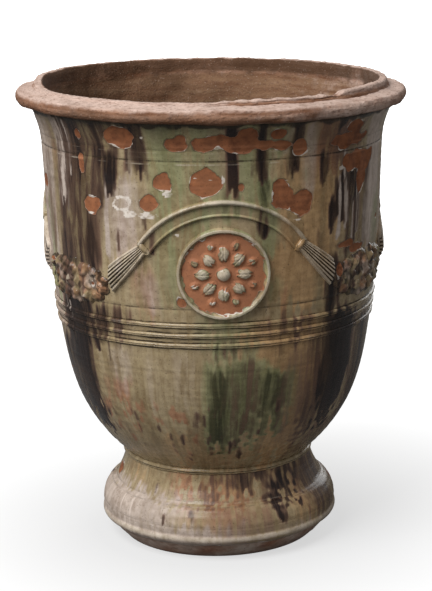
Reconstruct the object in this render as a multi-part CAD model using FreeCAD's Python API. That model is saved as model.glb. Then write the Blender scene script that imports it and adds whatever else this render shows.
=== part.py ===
import FreeCAD, Part
import math
import os

# A large glazed earthenware garden vase. Three thrown sections are luted together, a roll is laid
# round the mouth, cordons go round the girth, and press-moulded sprigs hang in three garlands.
# Millimetres, +Z up. The origin is on the floor under the middle of the foot. The front is -Y.

# Heights of the thrown sections, from the floor upwards
FOOT_HEIGHT = 138.0
BOWL_HEIGHT = 238.0
WALL_HEIGHT = 235.0
FLARE_HEIGHT = 77.0
RIM_HEIGHT = 27.0
LIP_HEIGHT = 12.0

# Outer radii of the body at its neck and girth, how much wider the wall and the flare grow above them,
# and how far the side leans out of the upright at each, in degrees
NECK_RADIUS = 146.0
NECK_LEAN = 47.5
GIRTH_RADIUS = 247.0
GIRTH_LEAN = 6.7
WALL_SPREAD = 16.0
SHOULDER_LEAN = 2.4
FLARE_SPREAD = 16.5
MOUTH_LEAN = 27.0

# Each flowing curve leaves its ends along the lean, with handles of this share of its chord
HANDLE_SHARE = 0.40

# Clay thickness, and how far the lip stands in from the edge of the mouth
WALL_THICKNESS = 20.0
FLOOR_THICKNESS = 26.0
FLOOR_CORNER = 30.0
LIP_THICKNESS = 13.0
LIP_SET_IN = 9.0
LIP_FACE_HEIGHT = 20.0
DRAIN_RADIUS = 20.0

# Foot: a bevelled standing ring, a bead, a swelling shoulder and a hollow throat up to the neck
STANDING_RADIUS = 154.0
BEVEL_RADIUS = 180.0
BEVEL_HEIGHT = 28.0
BEAD_RADIUS = 187.0
BEAD_HEIGHT = 15.0
BEAD_GROOVE = 2.0
SHOULDER_SWELL_RADIUS = 182.0
SHOULDER_SWELL_HEIGHT = 27.0
FOOT_WAIST_RADIUS = 168.5
FOOT_WAIST_HEIGHT = 17.0
FOOT_STEP = 2.0
THROAT_RADIUS = 154.0
THROAT_HEIGHT = 22.0
FOOT_THICKNESS = 29.0

# Luted joints: a spigot under the bowl and a tongue on top of it, with room for slip
SPIGOT_DEPTH = 8.0
TONGUE_HEIGHT = 10.0
TONGUE_THICKNESS = 9.0
SLIP_ROOM = 0.3

# Rim roll
RIM_OVERHANG = 20.5
RIM_EDGE_HEIGHT = 18.0
RIM_EDGE_SETBACK = 4.0
RIM_UNDERSIDE_RISE = 4.0

# Cordons
CORDON_HALF_WIDTH = 4.0
CORDON_RISE = 3.6
CORDON_PITCH = 15.5
NECK_CORDON_HALF_WIDTH = 5.0
NECK_CORDON_RISE = 5.0
NECK_CORDON_DROP = 3.0

# Garlands: how many go round, and how deep a sprig is pressed before its back is shaped to the wall
GARLAND_COUNT = 3
BEDDING = 4.0

# Medallion: a plate with a stepped frame and a rosette of petals with leaf tips between them
MEDALLION_RADIUS = 68.5
MEDALLION_GAP = 6.5
FRAME_WIDTH = 8.0
FRAME_STEP = 2.0
PLATE_RISE = 3.0
FRAME_RISE = 6.0
FRAME_CREST_RISE = 8.0
PETAL_COUNT = 8
PETAL_LENGTH = 42.0
PETAL_GIRTH = 12.0
PETAL_SINK = 7.0
PETAL_CENTRE = 30.0
TIP_LENGTH = 26.0
TIP_GIRTH = 8.0
TIP_SINK = 4.5
TIP_CENTRE = 45.0
BUTTON_RADIUS = 12.0
BUTTON_SINK = 5.0

# Arch: a strap over the medallion with a bead along each edge
ARCH_RADIUS = 141.5
ARCH_GAP = 15.0
ARCH_HALF_ANGLE = 53.0
ARCH_SECTIONS = 9
STRAP_WIDTH = 25.0
STRAP_RISE = 2.5
INNER_BEAD_WIDTH = 5.0
INNER_BEAD_RISE = 4.5
OUTER_BEAD_WIDTH = 8.0
OUTER_BEAD_RISE = 7.5

# Husk: a fluted fan from the tie at the arch's end to the fruit
HUSK_FLUTES = 7
HUSK_SECTIONS = 4
HUSK_TIE_WIDTH = 17.0
HUSK_MOUTH_WIDTH = 42.0
HUSK_TIE_RISE = 5.0
HUSK_MOUTH_RISE = 9.0
HUSK_EDGE_RISE = 1.5
REED_ROUNDNESS = 0.4
HUSK_MOUTH_LIFT = 14.0
HUSK_MOUTH_TURN = 34.0
TIE_LENGTH = 9.0
TIE_WIDTH = 28.0
TIE_RISE = 8.5
TIE_BEDDING = 7.0

# Fruit cluster: three staggered rows of fruit inside a ring of leaves
FRUIT_RADIUS = 14.0
FRUIT_TAPER = 4.0
FRUIT_PITCH = 23.0
FRUIT_ROW_PITCH = 18.0
FRUIT_LONG_ROW = 7
LEAF_COUNT = 16
LEAF_LENGTH = 32.0
LEAF_GIRTH = 10.0
LEAF_SINK = 3.0
LEAF_RING_MARGIN = 7.0
FRUIT_GAP = 6.0

SHOULDER_RADIUS = GIRTH_RADIUS + WALL_SPREAD
MOUTH_RADIUS = SHOULDER_RADIUS + FLARE_SPREAD
RIM_RADIUS = MOUTH_RADIUS + RIM_OVERHANG
LIP_RADIUS = MOUTH_RADIUS - LIP_SET_IN
JOINT_LEVEL = FOOT_HEIGHT
SEAM_LEVEL = JOINT_LEVEL + BOWL_HEIGHT
SHOULDER_LEVEL = SEAM_LEVEL + WALL_HEIGHT
RIM_LEVEL = SHOULDER_LEVEL + FLARE_HEIGHT
LIP_LEVEL = RIM_LEVEL + RIM_HEIGHT
TOP_LEVEL = LIP_LEVEL + LIP_HEIGHT
FLOOR_LEVEL = JOINT_LEVEL + FLOOR_THICKNESS
CORDON_TOP = SEAM_LEVEL + CORDON_PITCH + CORDON_HALF_WIDTH
MEDALLION_LEVEL = CORDON_TOP + MEDALLION_GAP + MEDALLION_RADIUS
ARCH_CENTRE_LEVEL = MEDALLION_LEVEL + MEDALLION_RADIUS + ARCH_GAP + STRAP_WIDTH / 2 - ARCH_RADIUS
LEAF_RING_HEIGHT = FRUIT_ROW_PITCH + LEAF_RING_MARGIN
LEAF_RING_WIDTH = FRUIT_PITCH * (FRUIT_LONG_ROW - 1) / 2 + LEAF_RING_MARGIN
FRUIT_HALF_HEIGHT = LEAF_RING_HEIGHT + LEAF_LENGTH / 2
FRUIT_HALF_WIDTH = LEAF_RING_WIDTH + LEAF_LENGTH / 2
FRUIT_LEVEL = CORDON_TOP + FRUIT_GAP + FRUIT_HALF_HEIGHT
GARLAND_TURN = 360.0 / GARLAND_COUNT

ORIGIN = FreeCAD.Vector(0, 0, 0)
UP = FreeCAD.Vector(0, 0, 1)


def at(radius, level):
    """A point of the section through the vase's axis."""
    return FreeCAD.Vector(radius, 0, level)


def line(start, end):
    return Part.LineSegment(start, end).toShape()


def arc(start, middle, end):
    return Part.Arc(start, middle, end).toShape()


def flow(low, low_lean, high, high_lean):
    """A curve from one point of the section up to another, leaving each along its lean."""
    handle = (high - low).Length * HANDLE_SHARE
    low_turn = math.radians(low_lean)
    high_turn = math.radians(high_lean)
    leaving = low + at(math.sin(low_turn), math.cos(low_turn)) * handle
    arriving = high - at(math.sin(high_turn), math.cos(high_turn)) * handle
    curve = Part.BezierCurve()
    curve.setPoles([low, leaving, arriving, high])
    return curve


def bowl_side():
    return flow(at(NECK_RADIUS, JOINT_LEVEL), NECK_LEAN, at(GIRTH_RADIUS, SEAM_LEVEL), GIRTH_LEAN)


def wall_side(inset=0.0):
    """The wall's outer side, or a line this far inside it."""
    return flow(at(GIRTH_RADIUS - inset, SEAM_LEVEL), GIRTH_LEAN,
                at(SHOULDER_RADIUS - inset, SHOULDER_LEVEL), SHOULDER_LEAN)


def flare_side():
    return flow(at(SHOULDER_RADIUS, SHOULDER_LEVEL), SHOULDER_LEAN,
                at(MOUTH_RADIUS, RIM_LEVEL), MOUTH_LEAN)


def outline(points_and_edges):
    """A closed face: edges are kept, and points are joined to their neighbours by straight lines."""
    edges = []
    pen = None
    first = None
    for item in points_and_edges:
        is_point = isinstance(item, FreeCAD.Vector)
        start = item if is_point else item.firstVertex(True).Point
        end = item if is_point else item.lastVertex(True).Point
        if pen is None:
            first = start
        elif (start - pen).Length > 1e-6:
            edges.append(line(pen, start))
        if not is_point:
            edges.append(item)
        pen = end
    if (first - pen).Length > 1e-6:
        edges.append(line(pen, first))
    return Part.Face(Part.Wire(edges))


def turned(points_and_edges):
    """A solid of revolution about the vase's axis."""
    return outline(points_and_edges).revolve(ORIGIN, UP, 360)


def reversed_edge(curve):
    turned_round = curve.copy()
    turned_round.reverse()
    return turned_round.toShape()


def make_core():
    """The body from neck to mouth as if it were solid: it shapes the back of whatever is luted on."""
    return turned([
        at(0, JOINT_LEVEL),
        bowl_side().toShape(),
        wall_side().toShape(),
        flare_side().toShape(),
        at(LIP_RADIUS, LIP_LEVEL),
        at(0, LIP_LEVEL),
    ])


def make_foot():
    """A hollow pedestal: the inside follows the outside, without its beads."""
    bead_top = BEVEL_HEIGHT + BEAD_HEIGHT
    swell = bead_top + SHOULDER_SWELL_HEIGHT
    waist = swell + FOOT_WAIST_HEIGHT
    throat = waist + THROAT_HEIGHT
    groove_radius = BEAD_RADIUS - BEAD_GROOVE
    inside = -FOOT_THICKNESS
    return turned([
        at(STANDING_RADIUS, 0),
        at(BEVEL_RADIUS, BEVEL_HEIGHT),
        arc(at(BEVEL_RADIUS, BEVEL_HEIGHT), at(BEAD_RADIUS, BEVEL_HEIGHT + BEAD_HEIGHT / 2),
            at(groove_radius, bead_top)),
        arc(at(groove_radius, bead_top), at(SHOULDER_SWELL_RADIUS, swell), at(FOOT_WAIST_RADIUS, waist)),
        arc(at(FOOT_WAIST_RADIUS - FOOT_STEP, waist), at(THROAT_RADIUS, throat),
            at(NECK_RADIUS, JOINT_LEVEL)),
        arc(at(NECK_RADIUS + inside, JOINT_LEVEL), at(THROAT_RADIUS + inside, throat),
            at(FOOT_WAIST_RADIUS + inside, waist)),
        arc(at(FOOT_WAIST_RADIUS + inside, waist), at(SHOULDER_SWELL_RADIUS + inside, swell),
            at(groove_radius + inside, bead_top)),
        at(BEVEL_RADIUS + inside, BEVEL_HEIGHT),
        at(STANDING_RADIUS + inside, 0),
    ])


def make_bowl():
    """The bowl has a spigot that drops into the foot, and a tongue that the wall sits over."""
    spigot_radius = NECK_RADIUS - FOOT_THICKNESS - SLIP_ROOM
    inner_girth = GIRTH_RADIUS - WALL_THICKNESS
    inside = flow(at(NECK_RADIUS - WALL_THICKNESS + FLOOR_CORNER, FLOOR_LEVEL + FLOOR_CORNER), NECK_LEAN,
                  at(inner_girth, SEAM_LEVEL), GIRTH_LEAN)
    corner = inside.value(inside.FirstParameter)
    return turned([
        at(DRAIN_RADIUS, JOINT_LEVEL - SPIGOT_DEPTH),
        at(spigot_radius, JOINT_LEVEL - SPIGOT_DEPTH),
        at(spigot_radius, JOINT_LEVEL),
        bowl_side().toShape(),
        at(inner_girth + TONGUE_THICKNESS, SEAM_LEVEL),
        at(inner_girth + TONGUE_THICKNESS, SEAM_LEVEL + TONGUE_HEIGHT),
        at(inner_girth, SEAM_LEVEL + TONGUE_HEIGHT),
        reversed_edge(inside),
        line(corner, at(corner.x - FLOOR_CORNER, FLOOR_LEVEL)),
        at(DRAIN_RADIUS, FLOOR_LEVEL),
    ])


def make_wall():
    """The wall sits over the bowl's tongue. Its top edge stands above the rim roll as a lip."""
    inner_girth = GIRTH_RADIUS - WALL_THICKNESS
    tongue_room = inner_girth + TONGUE_THICKNESS + SLIP_ROOM
    tongue_top = SEAM_LEVEL + TONGUE_HEIGHT
    lip_bore = LIP_RADIUS - LIP_THICKNESS
    lip_middle = LIP_RADIUS - LIP_THICKNESS / 2
    lip_shoulder = LIP_LEVEL + LIP_HEIGHT / 2
    inside_wall = flow(at(inner_girth, tongue_top), GIRTH_LEAN,
                       at(SHOULDER_RADIUS - WALL_THICKNESS, SHOULDER_LEVEL), SHOULDER_LEAN)
    inside_flare = flow(at(SHOULDER_RADIUS - WALL_THICKNESS, SHOULDER_LEVEL), SHOULDER_LEAN,
                        at(lip_bore, TOP_LEVEL - LIP_FACE_HEIGHT), MOUTH_LEAN)
    return turned([
        at(tongue_room, SEAM_LEVEL),
        wall_side().toShape(),
        flare_side().toShape(),
        at(LIP_RADIUS, LIP_LEVEL),
        arc(at(LIP_RADIUS, lip_shoulder), at(lip_middle, TOP_LEVEL), at(lip_bore, lip_shoulder)),
        reversed_edge(inside_flare),
        reversed_edge(inside_wall),
        at(tongue_room, tongue_top),
    ])


def make_rim(core):
    """A heavy roll with a rounded edge, shaped on its inside to the flare of the mouth."""
    edge_radius = RIM_RADIUS - RIM_EDGE_SETBACK
    edge_low = RIM_LEVEL + RIM_UNDERSIDE_RISE
    edge_high = edge_low + RIM_EDGE_HEIGHT
    roll = turned([
        at(SHOULDER_RADIUS, RIM_LEVEL),
        at(MOUTH_RADIUS, RIM_LEVEL),
        at(edge_radius, edge_low),
        arc(at(edge_radius, edge_low), at(RIM_RADIUS, (edge_low + edge_high) / 2),
            at(edge_radius, edge_high)),
        at(LIP_RADIUS, LIP_LEVEL),
        at(SHOULDER_RADIUS - LIP_SET_IN, LIP_LEVEL),
    ])
    return roll.cut(core)


def cordon(level, radius, half_width, rise):
    """A half-round coil about the body, before its back is shaped."""
    return turned([
        arc(at(radius, level - half_width), at(radius + rise, level), at(radius, level + half_width)),
        at(radius - BEDDING, level + half_width),
        at(radius - BEDDING, level - half_width),
    ])


def place_on(curve, level):
    """The point of a side at a level, and its slope there, found by halving the side's span."""
    low = curve.FirstParameter
    high = curve.LastParameter
    for _ in range(40):
        middle = (low + high) / 2
        if curve.value(middle).z < level:
            low = middle
        else:
            high = middle
    return curve.value(low), curve.tangent(low)[0]


def make_girth_cordon(core, level):
    side = wall_side() if level >= SEAM_LEVEL else bowl_side()
    radius = place_on(side, level)[0].x
    return cordon(level, radius, CORDON_HALF_WIDTH, CORDON_RISE).cut(core)


def make_neck_cordon(core, foot):
    """A coil in the corner under the bowl, over the joint with the foot."""
    level = JOINT_LEVEL - NECK_CORDON_DROP
    return cordon(level, NECK_RADIUS, NECK_CORDON_HALF_WIDTH, NECK_CORDON_RISE).cut([foot, core])


class Seat:
    """A place on the wall: across runs round the vase from the garland's middle, level is its height."""

    def __init__(self, azimuth, across, level):
        place, slope = place_on(wall_side(), level)
        turn = math.radians(azimuth) + across / place.x
        radial = FreeCAD.Vector(math.sin(turn), -math.cos(turn), 0)
        self.right = FreeCAD.Vector(math.cos(turn), math.sin(turn), 0)
        self.up = radial * slope.x + UP * slope.z
        self.out = self.right.cross(self.up)
        self.point = radial * place.x + UP * level

    def place(self, shape, turn=0.0, lift=0.0):
        """Moves a shape made about the origin here: X right, Y up, Z out of the wall."""
        rows = []
        for axis in ("x", "y", "z"):
            rows += [getattr(self.right, axis), getattr(self.up, axis), getattr(self.out, axis)]
            rows.append(getattr(self.point, axis))
        moved = shape.copy()
        moved.rotate(ORIGIN, UP, turn)
        moved.translate(UP * lift)
        moved.Placement = FreeCAD.Placement(FreeCAD.Matrix(*rows, 0, 0, 0, 1)).multiply(moved.Placement)
        return moved

    def section(self, turn, points):
        """A closed wire across the wall: a list of (across, rise), where a triple of them is an arc."""
        angle = math.radians(turn)
        sideways = self.right * math.cos(angle) + self.up * math.sin(angle)

        def lifted(pair):
            return self.point + sideways * pair[0] + self.out * pair[1]

        edges = []
        pen = lifted(points[0])
        for item in points[1:] + points[:1]:
            if len(item) == 3:
                edges.append(arc(lifted(item[0]), lifted(item[1]), lifted(item[2])))
                pen = lifted(item[2])
            else:
                edges.append(line(pen, lifted(item)))
                pen = lifted(item)
        return Part.Wire(edges)


def spindle(length, girth):
    """A lemon-shaped solid along X with pointed ends: a petal or a leaf once it is half sunk."""
    tail = FreeCAD.Vector(-length / 2, 0, 0)
    tip = FreeCAD.Vector(length / 2, 0, 0)
    bow = arc(tail, FreeCAD.Vector(0, girth, 0), tip)
    axis = line(tip, tail)
    return Part.Face(Part.Wire([bow, axis])).revolve(ORIGIN, FreeCAD.Vector(1, 0, 0), 360)


def wall_skin(rise):
    """A skin over the wall, this thick, bedded into it."""
    return turned([wall_side(-rise).toShape(), reversed_edge(wall_side(BEDDING))])


def drum(radius):
    """A round bar out of the front of the vase through the medallion's middle."""
    return Part.makeCylinder(radius, RIM_RADIUS, UP * MEDALLION_LEVEL, FreeCAD.Vector(0, -1, 0))


def make_medallion(core):
    plate = wall_skin(PLATE_RISE).common(drum(MEDALLION_RADIUS))
    frame = wall_skin(FRAME_RISE).common(drum(MEDALLION_RADIUS).cut(drum(MEDALLION_RADIUS - FRAME_WIDTH)))
    crest_hoop = drum(MEDALLION_RADIUS - FRAME_STEP).cut(drum(MEDALLION_RADIUS - FRAME_WIDTH + FRAME_STEP))
    crest = wall_skin(FRAME_CREST_RISE).common(crest_hoop)
    pieces = [frame, crest]
    petal = spindle(PETAL_LENGTH, PETAL_GIRTH)
    tip = spindle(TIP_LENGTH, TIP_GIRTH)
    rosette = [(petal, PETAL_CENTRE, PETAL_SINK, 0), (tip, TIP_CENTRE, TIP_SINK, 0.5)]
    for index in range(PETAL_COUNT):
        for shape, centre, sink, turn in rosette:
            angle = 360.0 * (index + turn) / PETAL_COUNT
            across = centre * math.cos(math.radians(angle))
            level = MEDALLION_LEVEL + centre * math.sin(math.radians(angle))
            pieces.append(Seat(0, across, level).place(shape, angle, PLATE_RISE - sink))
    button = Part.makeSphere(BUTTON_RADIUS)
    pieces.append(Seat(0, 0, MEDALLION_LEVEL).place(button, 0, PLATE_RISE - BUTTON_SINK))
    return plate.fuse(pieces).removeSplitter().cut(core)


def strap_section(seat, turn):
    edge = STRAP_WIDTH / 2
    inner = -edge + INNER_BEAD_WIDTH
    outer = edge - OUTER_BEAD_WIDTH
    return seat.section(turn, [
        (-edge, -BEDDING),
        (-edge, 0),
        ((-edge, 0), (-edge + INNER_BEAD_WIDTH / 2, INNER_BEAD_RISE), (inner, STRAP_RISE)),
        (outer, STRAP_RISE),
        ((outer, STRAP_RISE), (edge - OUTER_BEAD_WIDTH / 2, OUTER_BEAD_RISE), (edge, 0)),
        (edge, -BEDDING),
    ])


def arch_place(angle):
    """Where the middle of the strap is, at an angle from the arch's crown."""
    across = ARCH_RADIUS * math.sin(math.radians(angle))
    level = ARCH_CENTRE_LEVEL + ARCH_RADIUS * math.cos(math.radians(angle))
    return across, level


def husk_run(hand):
    """The ends of a husk as (across, level), and the angle it runs at: hand is 1 right, -1 left."""
    fruit_radius = place_on(wall_side(), FRUIT_LEVEL)[0].x
    start_across, start_level = arch_place(ARCH_HALF_ANGLE)
    end_across = fruit_radius * math.radians(GARLAND_TURN / 2) - FRUIT_HALF_WIDTH
    end_level = FRUIT_LEVEL + HUSK_MOUTH_LIFT
    run = math.degrees(math.atan2(end_level - start_level, hand * (end_across - start_across)))
    return (hand * start_across, start_level), (hand * end_across, end_level), run


def beyond_tie(hand):
    """A block from the flat face where the arch meets the tie outwards along the husk."""
    start, end, run = husk_run(hand)
    size = 2 * STRAP_WIDTH
    block = Part.makeBox(size, 2 * size, 2 * size, FreeCAD.Vector(0, -size, -size))
    return Seat(0, *start).place(block, run)


def make_arch(core):
    """The strap is lofted a strap's width past each tie, then trimmed to it."""
    half_angle = ARCH_HALF_ANGLE + math.degrees(STRAP_WIDTH / ARCH_RADIUS)
    sections = []
    for index in range(ARCH_SECTIONS):
        angle = half_angle * (2.0 * index / (ARCH_SECTIONS - 1) - 1)
        sections.append(strap_section(Seat(0, *arch_place(angle)), 90 - angle))
    return Part.makeLoft(sections, True).cut([beyond_tie(-1), beyond_tie(1)]).cut(core)


def husk_section(seat, turn, share):
    """Round reeds side by side on a crowned back: share runs from 0 at the tie to 1 at the mouth."""
    width = HUSK_TIE_WIDTH + (HUSK_MOUTH_WIDTH - HUSK_TIE_WIDTH) * share
    rise = HUSK_TIE_RISE + (HUSK_MOUTH_RISE - HUSK_TIE_RISE) * share

    def crown(across):
        return HUSK_EDGE_RISE + (rise - HUSK_EDGE_RISE) * (1 - (2 * across / width) ** 2)

    points = [(-width / 2, -BEDDING), (-width / 2, HUSK_EDGE_RISE)]
    reed = width / HUSK_FLUTES
    for index in range(HUSK_FLUTES):
        start = -width / 2 + reed * index
        middle = start + reed / 2
        end = start + reed
        crest = (crown(start) + crown(end)) / 2 + reed * REED_ROUNDNESS
        points.append(((start, crown(start)), (middle, crest), (end, crown(end))))
    points.append((width / 2, -BEDDING))
    return seat.section(turn, points)


def tie_section(seat, turn, width, rise):
    return seat.section(turn, [
        (-width / 2, -TIE_BEDDING),
        (-width / 2, 0),
        ((-width / 2, 0), (0, rise), (width / 2, 0)),
        (width / 2, -TIE_BEDDING),
    ])


def make_husk_blank(hand):
    """A barrel-shaped tie and the fluted fan beyond it, before the back is shaped to the wall. The fan's
    sections turn as they go, so that the mouth stands nearly upright beside the fruit."""
    start, end, run = husk_run(hand)
    length = math.dist(start, end)
    turn = run + 90 * hand

    def seat(distance):
        share = distance / length
        return Seat(0, start[0] + (end[0] - start[0]) * share, start[1] + (end[1] - start[1]) * share)

    tie = Part.makeLoft([
        tie_section(seat(0), turn, HUSK_TIE_WIDTH, HUSK_TIE_RISE),
        tie_section(seat(TIE_LENGTH / 2), turn, TIE_WIDTH, TIE_RISE),
        tie_section(seat(TIE_LENGTH), turn, HUSK_TIE_WIDTH, HUSK_TIE_RISE),
    ], True)
    sections = []
    reed_start = TIE_LENGTH / 2
    for index in range(HUSK_SECTIONS):
        share = index / (HUSK_SECTIONS - 1)
        distance = reed_start + (length - reed_start) * share
        sections.append(husk_section(seat(distance), turn + hand * HUSK_MOUTH_TURN * share, share))
    return Part.makeLoft(sections, True).fuse(tie)


def make_fruit(core, husk_blanks):
    """A cluster where two garlands meet, made half a turn of the garland away from the front."""
    azimuth = GARLAND_TURN / 2
    reach = FRUIT_PITCH * (FRUIT_LONG_ROW - 1) / 2
    pieces = []
    for row in (-1, 0, 1):
        count = FRUIT_LONG_ROW - abs(row)
        for index in range(count):
            across = FRUIT_PITCH * (index - (count - 1) / 2)
            radius = FRUIT_RADIUS - FRUIT_TAPER * abs(across) / reach
            seat = Seat(azimuth, across, FRUIT_LEVEL + FRUIT_ROW_PITCH * row)
            pieces.append(seat.place(Part.makeSphere(radius)))
    leaf = spindle(LEAF_LENGTH, LEAF_GIRTH)
    for index in range(LEAF_COUNT):
        angle = 360.0 * (index + 0.5) / LEAF_COUNT
        across = LEAF_RING_WIDTH * math.cos(math.radians(angle))
        level = FRUIT_LEVEL + LEAF_RING_HEIGHT * math.sin(math.radians(angle))
        pieces.append(Seat(azimuth, across, level).place(leaf, angle, -LEAF_SINK))
    return pieces[0].fuse(pieces[1:]).cut(husk_blanks).cut(core)


core = make_core()
foot = make_foot()
nodes = {
    "foot": foot,
    "bowl": make_bowl(),
    "wall": make_wall(),
    "rim": make_rim(core),
    "neck_cordon": make_neck_cordon(core, foot),
    "cordon_lower": make_girth_cordon(core, SEAM_LEVEL - CORDON_PITCH),
    "cordon_middle": make_girth_cordon(core, SEAM_LEVEL),
    "cordon_upper": make_girth_cordon(core, SEAM_LEVEL + CORDON_PITCH),
}

husk_left = make_husk_blank(-1)
husk_right = make_husk_blank(1)
next_husk_left = husk_left.rotated(ORIGIN, UP, GARLAND_TURN)
garland = {
    "medallion_{}": make_medallion(core),
    "arch_{}": make_arch(core),
    "husk_{}_left": husk_left.cut(core),
    "husk_{}_right": husk_right.cut(core),
    "fruit_{}": make_fruit(core, [husk_right, next_husk_left]),
}
for index in range(GARLAND_COUNT):
    for name, shape in garland.items():
        nodes[name.format(index + 1)] = shape.rotated(ORIGIN, UP, GARLAND_TURN * index)

os.makedirs("parts", exist_ok=True)
for name, shape in nodes.items():
    print(name, len(shape.Solids), shape.isValid(), round(shape.Volume / 1000, 2), "cm3")
    shape.Solids[0].exportStep("parts/" + name + ".step")
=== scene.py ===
import functools
import math

import bpy
import numpy as np
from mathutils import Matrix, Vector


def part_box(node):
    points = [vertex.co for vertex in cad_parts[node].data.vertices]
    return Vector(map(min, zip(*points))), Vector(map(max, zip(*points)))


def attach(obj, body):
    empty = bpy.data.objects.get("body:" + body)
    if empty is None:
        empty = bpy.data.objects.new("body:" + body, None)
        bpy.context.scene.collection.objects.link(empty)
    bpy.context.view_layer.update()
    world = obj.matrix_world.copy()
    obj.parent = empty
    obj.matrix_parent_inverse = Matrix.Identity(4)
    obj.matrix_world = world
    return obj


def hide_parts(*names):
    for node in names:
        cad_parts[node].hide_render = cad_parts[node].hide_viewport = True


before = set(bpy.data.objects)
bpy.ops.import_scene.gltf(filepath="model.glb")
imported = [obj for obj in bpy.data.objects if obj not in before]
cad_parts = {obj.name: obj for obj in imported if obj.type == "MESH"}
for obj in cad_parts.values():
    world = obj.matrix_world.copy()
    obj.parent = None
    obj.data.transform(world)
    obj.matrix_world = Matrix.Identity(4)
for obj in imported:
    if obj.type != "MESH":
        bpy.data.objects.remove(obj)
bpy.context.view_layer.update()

# Foot
# A hollow pedestal thrown on the wheel in red earthenware, with a swelling shoulder and a bead. It was dipped
# in honey glaze to just below the bead, and stands on a bare bevelled ring.

MM = 1000.0
COLUMNS = 460


def level_of(node, corner):
    """The lowest (corner 0) or highest (corner 1) level of a node of the frame, in mm."""
    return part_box(node)[corner].z * MM


JOINT = level_of("foot", 1)
FOOT_THICKNESS = 29.0
FOOT_STEP = 2.0
standing = (154.0, 0.0)
bevel = (180.0, 28.0)
bead = (187.0, 35.5)
groove = (185.0, 43.0)
swell = (182.0, 70.0)
waist = (168.5, 87.0)
throat = (154.0, 109.0)
neck = (146.0, JOINT)


def straight(step, *corners):
    """Points about this many mm apart on straight lines from each corner to the next."""
    lines = [np.linspace(start, end, max(2, round(math.dist(start, end) / step)))
             for start, end in zip(corners, corners[1:])]
    return np.vstack(lines)


def arc(start, middle, end, step):
    """Points about this many mm apart on the circle through three points of a section. The centre is where
    the bisectors of the chords cross, and the angle about it runs evenly from the first point to the last."""
    (ax, ay), (bx, by), (cx, cy) = start, middle, end
    squares = np.array([ax * ax + ay * ay, bx * bx + by * by, cx * cx + cy * cy])
    twice_area = 2 * (ax * (by - cy) + bx * (cy - ay) + cx * (ay - by))
    centre_x = squares @ (by - cy, cy - ay, ay - by) / twice_area
    centre_y = squares @ (cx - bx, ax - cx, bx - ax) / twice_area
    first = math.atan2(ay - centre_y, ax - centre_x)
    to_middle = (math.atan2(by - centre_y, bx - centre_x) - first) % math.tau
    to_end = (math.atan2(cy - centre_y, cx - centre_x) - first) % math.tau
    if to_middle > to_end:
        to_end -= math.tau
    radius = math.hypot(ax - centre_x, ay - centre_y)
    count = max(3, round(radius * abs(to_end) / step))
    angle = first + np.linspace(0, to_end, count)
    return np.column_stack([centre_x + radius * np.cos(angle), centre_y + radius * np.sin(angle)])


def closed(*stretches):
    """One closed section from stretches of points, with doubled points left out."""
    points = np.vstack(stretches)
    gap = np.linalg.norm(points - np.roll(points, 1, axis=0), axis=1)
    return points[gap > 1e-6]


def inset(point, thickness):
    """A point of a section moved in towards the axis by a thickness."""
    return point[0] - thickness, point[1]


def spun(azimuth, radius, level):
    """Points at these azimuths in degrees, radii and levels: azimuth 0 is the front, -Y, and 90 is +X."""
    turn = np.radians(azimuth)
    return np.stack(np.broadcast_arrays(radius * np.sin(turn), -radius * np.cos(turn), level), axis=-1)


def turned(section, push=0.0):
    """A closed section of radius and level turned about the axis: row i, column j of the grid is point i at
    azimuth 360 j / columns, moved along the section's outward normal by push in mm."""
    onward = np.roll(section, -1, axis=0) - np.roll(section, 1, axis=0)
    normal = np.column_stack([onward[:, 1], -onward[:, 0]]) / np.linalg.norm(onward, axis=1, keepdims=True)
    azimuth = np.arange(COLUMNS) * 360.0 / COLUMNS
    radius = section[:, :1] + normal[:, :1] * push
    level = section[:, 1:] + normal[:, 1:] * push
    return spun(azimuth, radius, level)


def waves(points, length, seed, upright=1.0):
    """An uneven field between about -1 and 1: a sum of plane waves about this long in mm, whose directions
    and phases are a seeded draw. Heights are divided by upright, which stretches the field up the wall."""
    draw = np.random.default_rng(seed)
    count = 14
    heading = draw.normal(size=(count, 3))
    heading /= np.linalg.norm(heading, axis=1, keepdims=True)
    heading *= math.tau / length * draw.uniform(0.6, 1.6, (count, 1))
    heading[:, 2] /= upright
    phase = draw.uniform(0, math.tau, count)
    return np.cos(points @ heading.T + phase).sum(axis=-1) * math.sqrt(2 / count) / 1.6


def around(points, azimuth):
    """How far each point lies from an azimuth, in mm round the vase."""
    turn = np.degrees(np.arctan2(points[..., 0], -points[..., 1])) - azimuth
    return np.radians((turn + 180) % 360 - 180) * np.hypot(points[..., 0], points[..., 1])


def step_up(low, high, value):
    """0 below low, 1 above high, and a smooth cubic step between."""
    share = np.clip((value - low) / (high - low), 0, 1)
    return share * share * (3 - 2 * share)


LONGEST_DRIP = 24.0


def run_cover(points, runs, softness):
    """How thickly runs of glaze cover each point: 0 beside them, and the strength of the thickest inside. A
    run is (azimuth, half width, top, bottom, strength): a strip that wanders a little, fades in at its top,
    and ends below in a comb of round drips. Its sides fade over a share of its half width, softness."""
    wander = 3.0 * waves(points, 60, 11, 2.5) + 1.2 * waves(points, 16, 12, 3.0)
    comb = waves(points, 11, 13, 14.0) + 0.5 * waves(points, 40, 14, 6.0)
    cover = np.zeros(points.shape[:-1])
    for azimuth, half_width, top, bottom, strength in runs:
        above_end = points[..., 2] + comb * min(3.0 + 0.8 * half_width, LONGEST_DRIP) - bottom
        drip = half_width * np.sqrt(np.clip(above_end / (2.0 * half_width), 0, 1))
        side = np.abs(around(points, azimuth) + wander)
        soft = 1.0 + softness * half_width
        fade = min(8.0 + 0.5 * half_width, 16.0)
        strip = step_up(-soft, soft, drip - side) * step_up(-fade, fade, top - points[..., 2] + 8.0 * comb)
        cover = np.maximum(cover, strength * strip * step_up(0, 4, above_end))
    return cover


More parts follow.
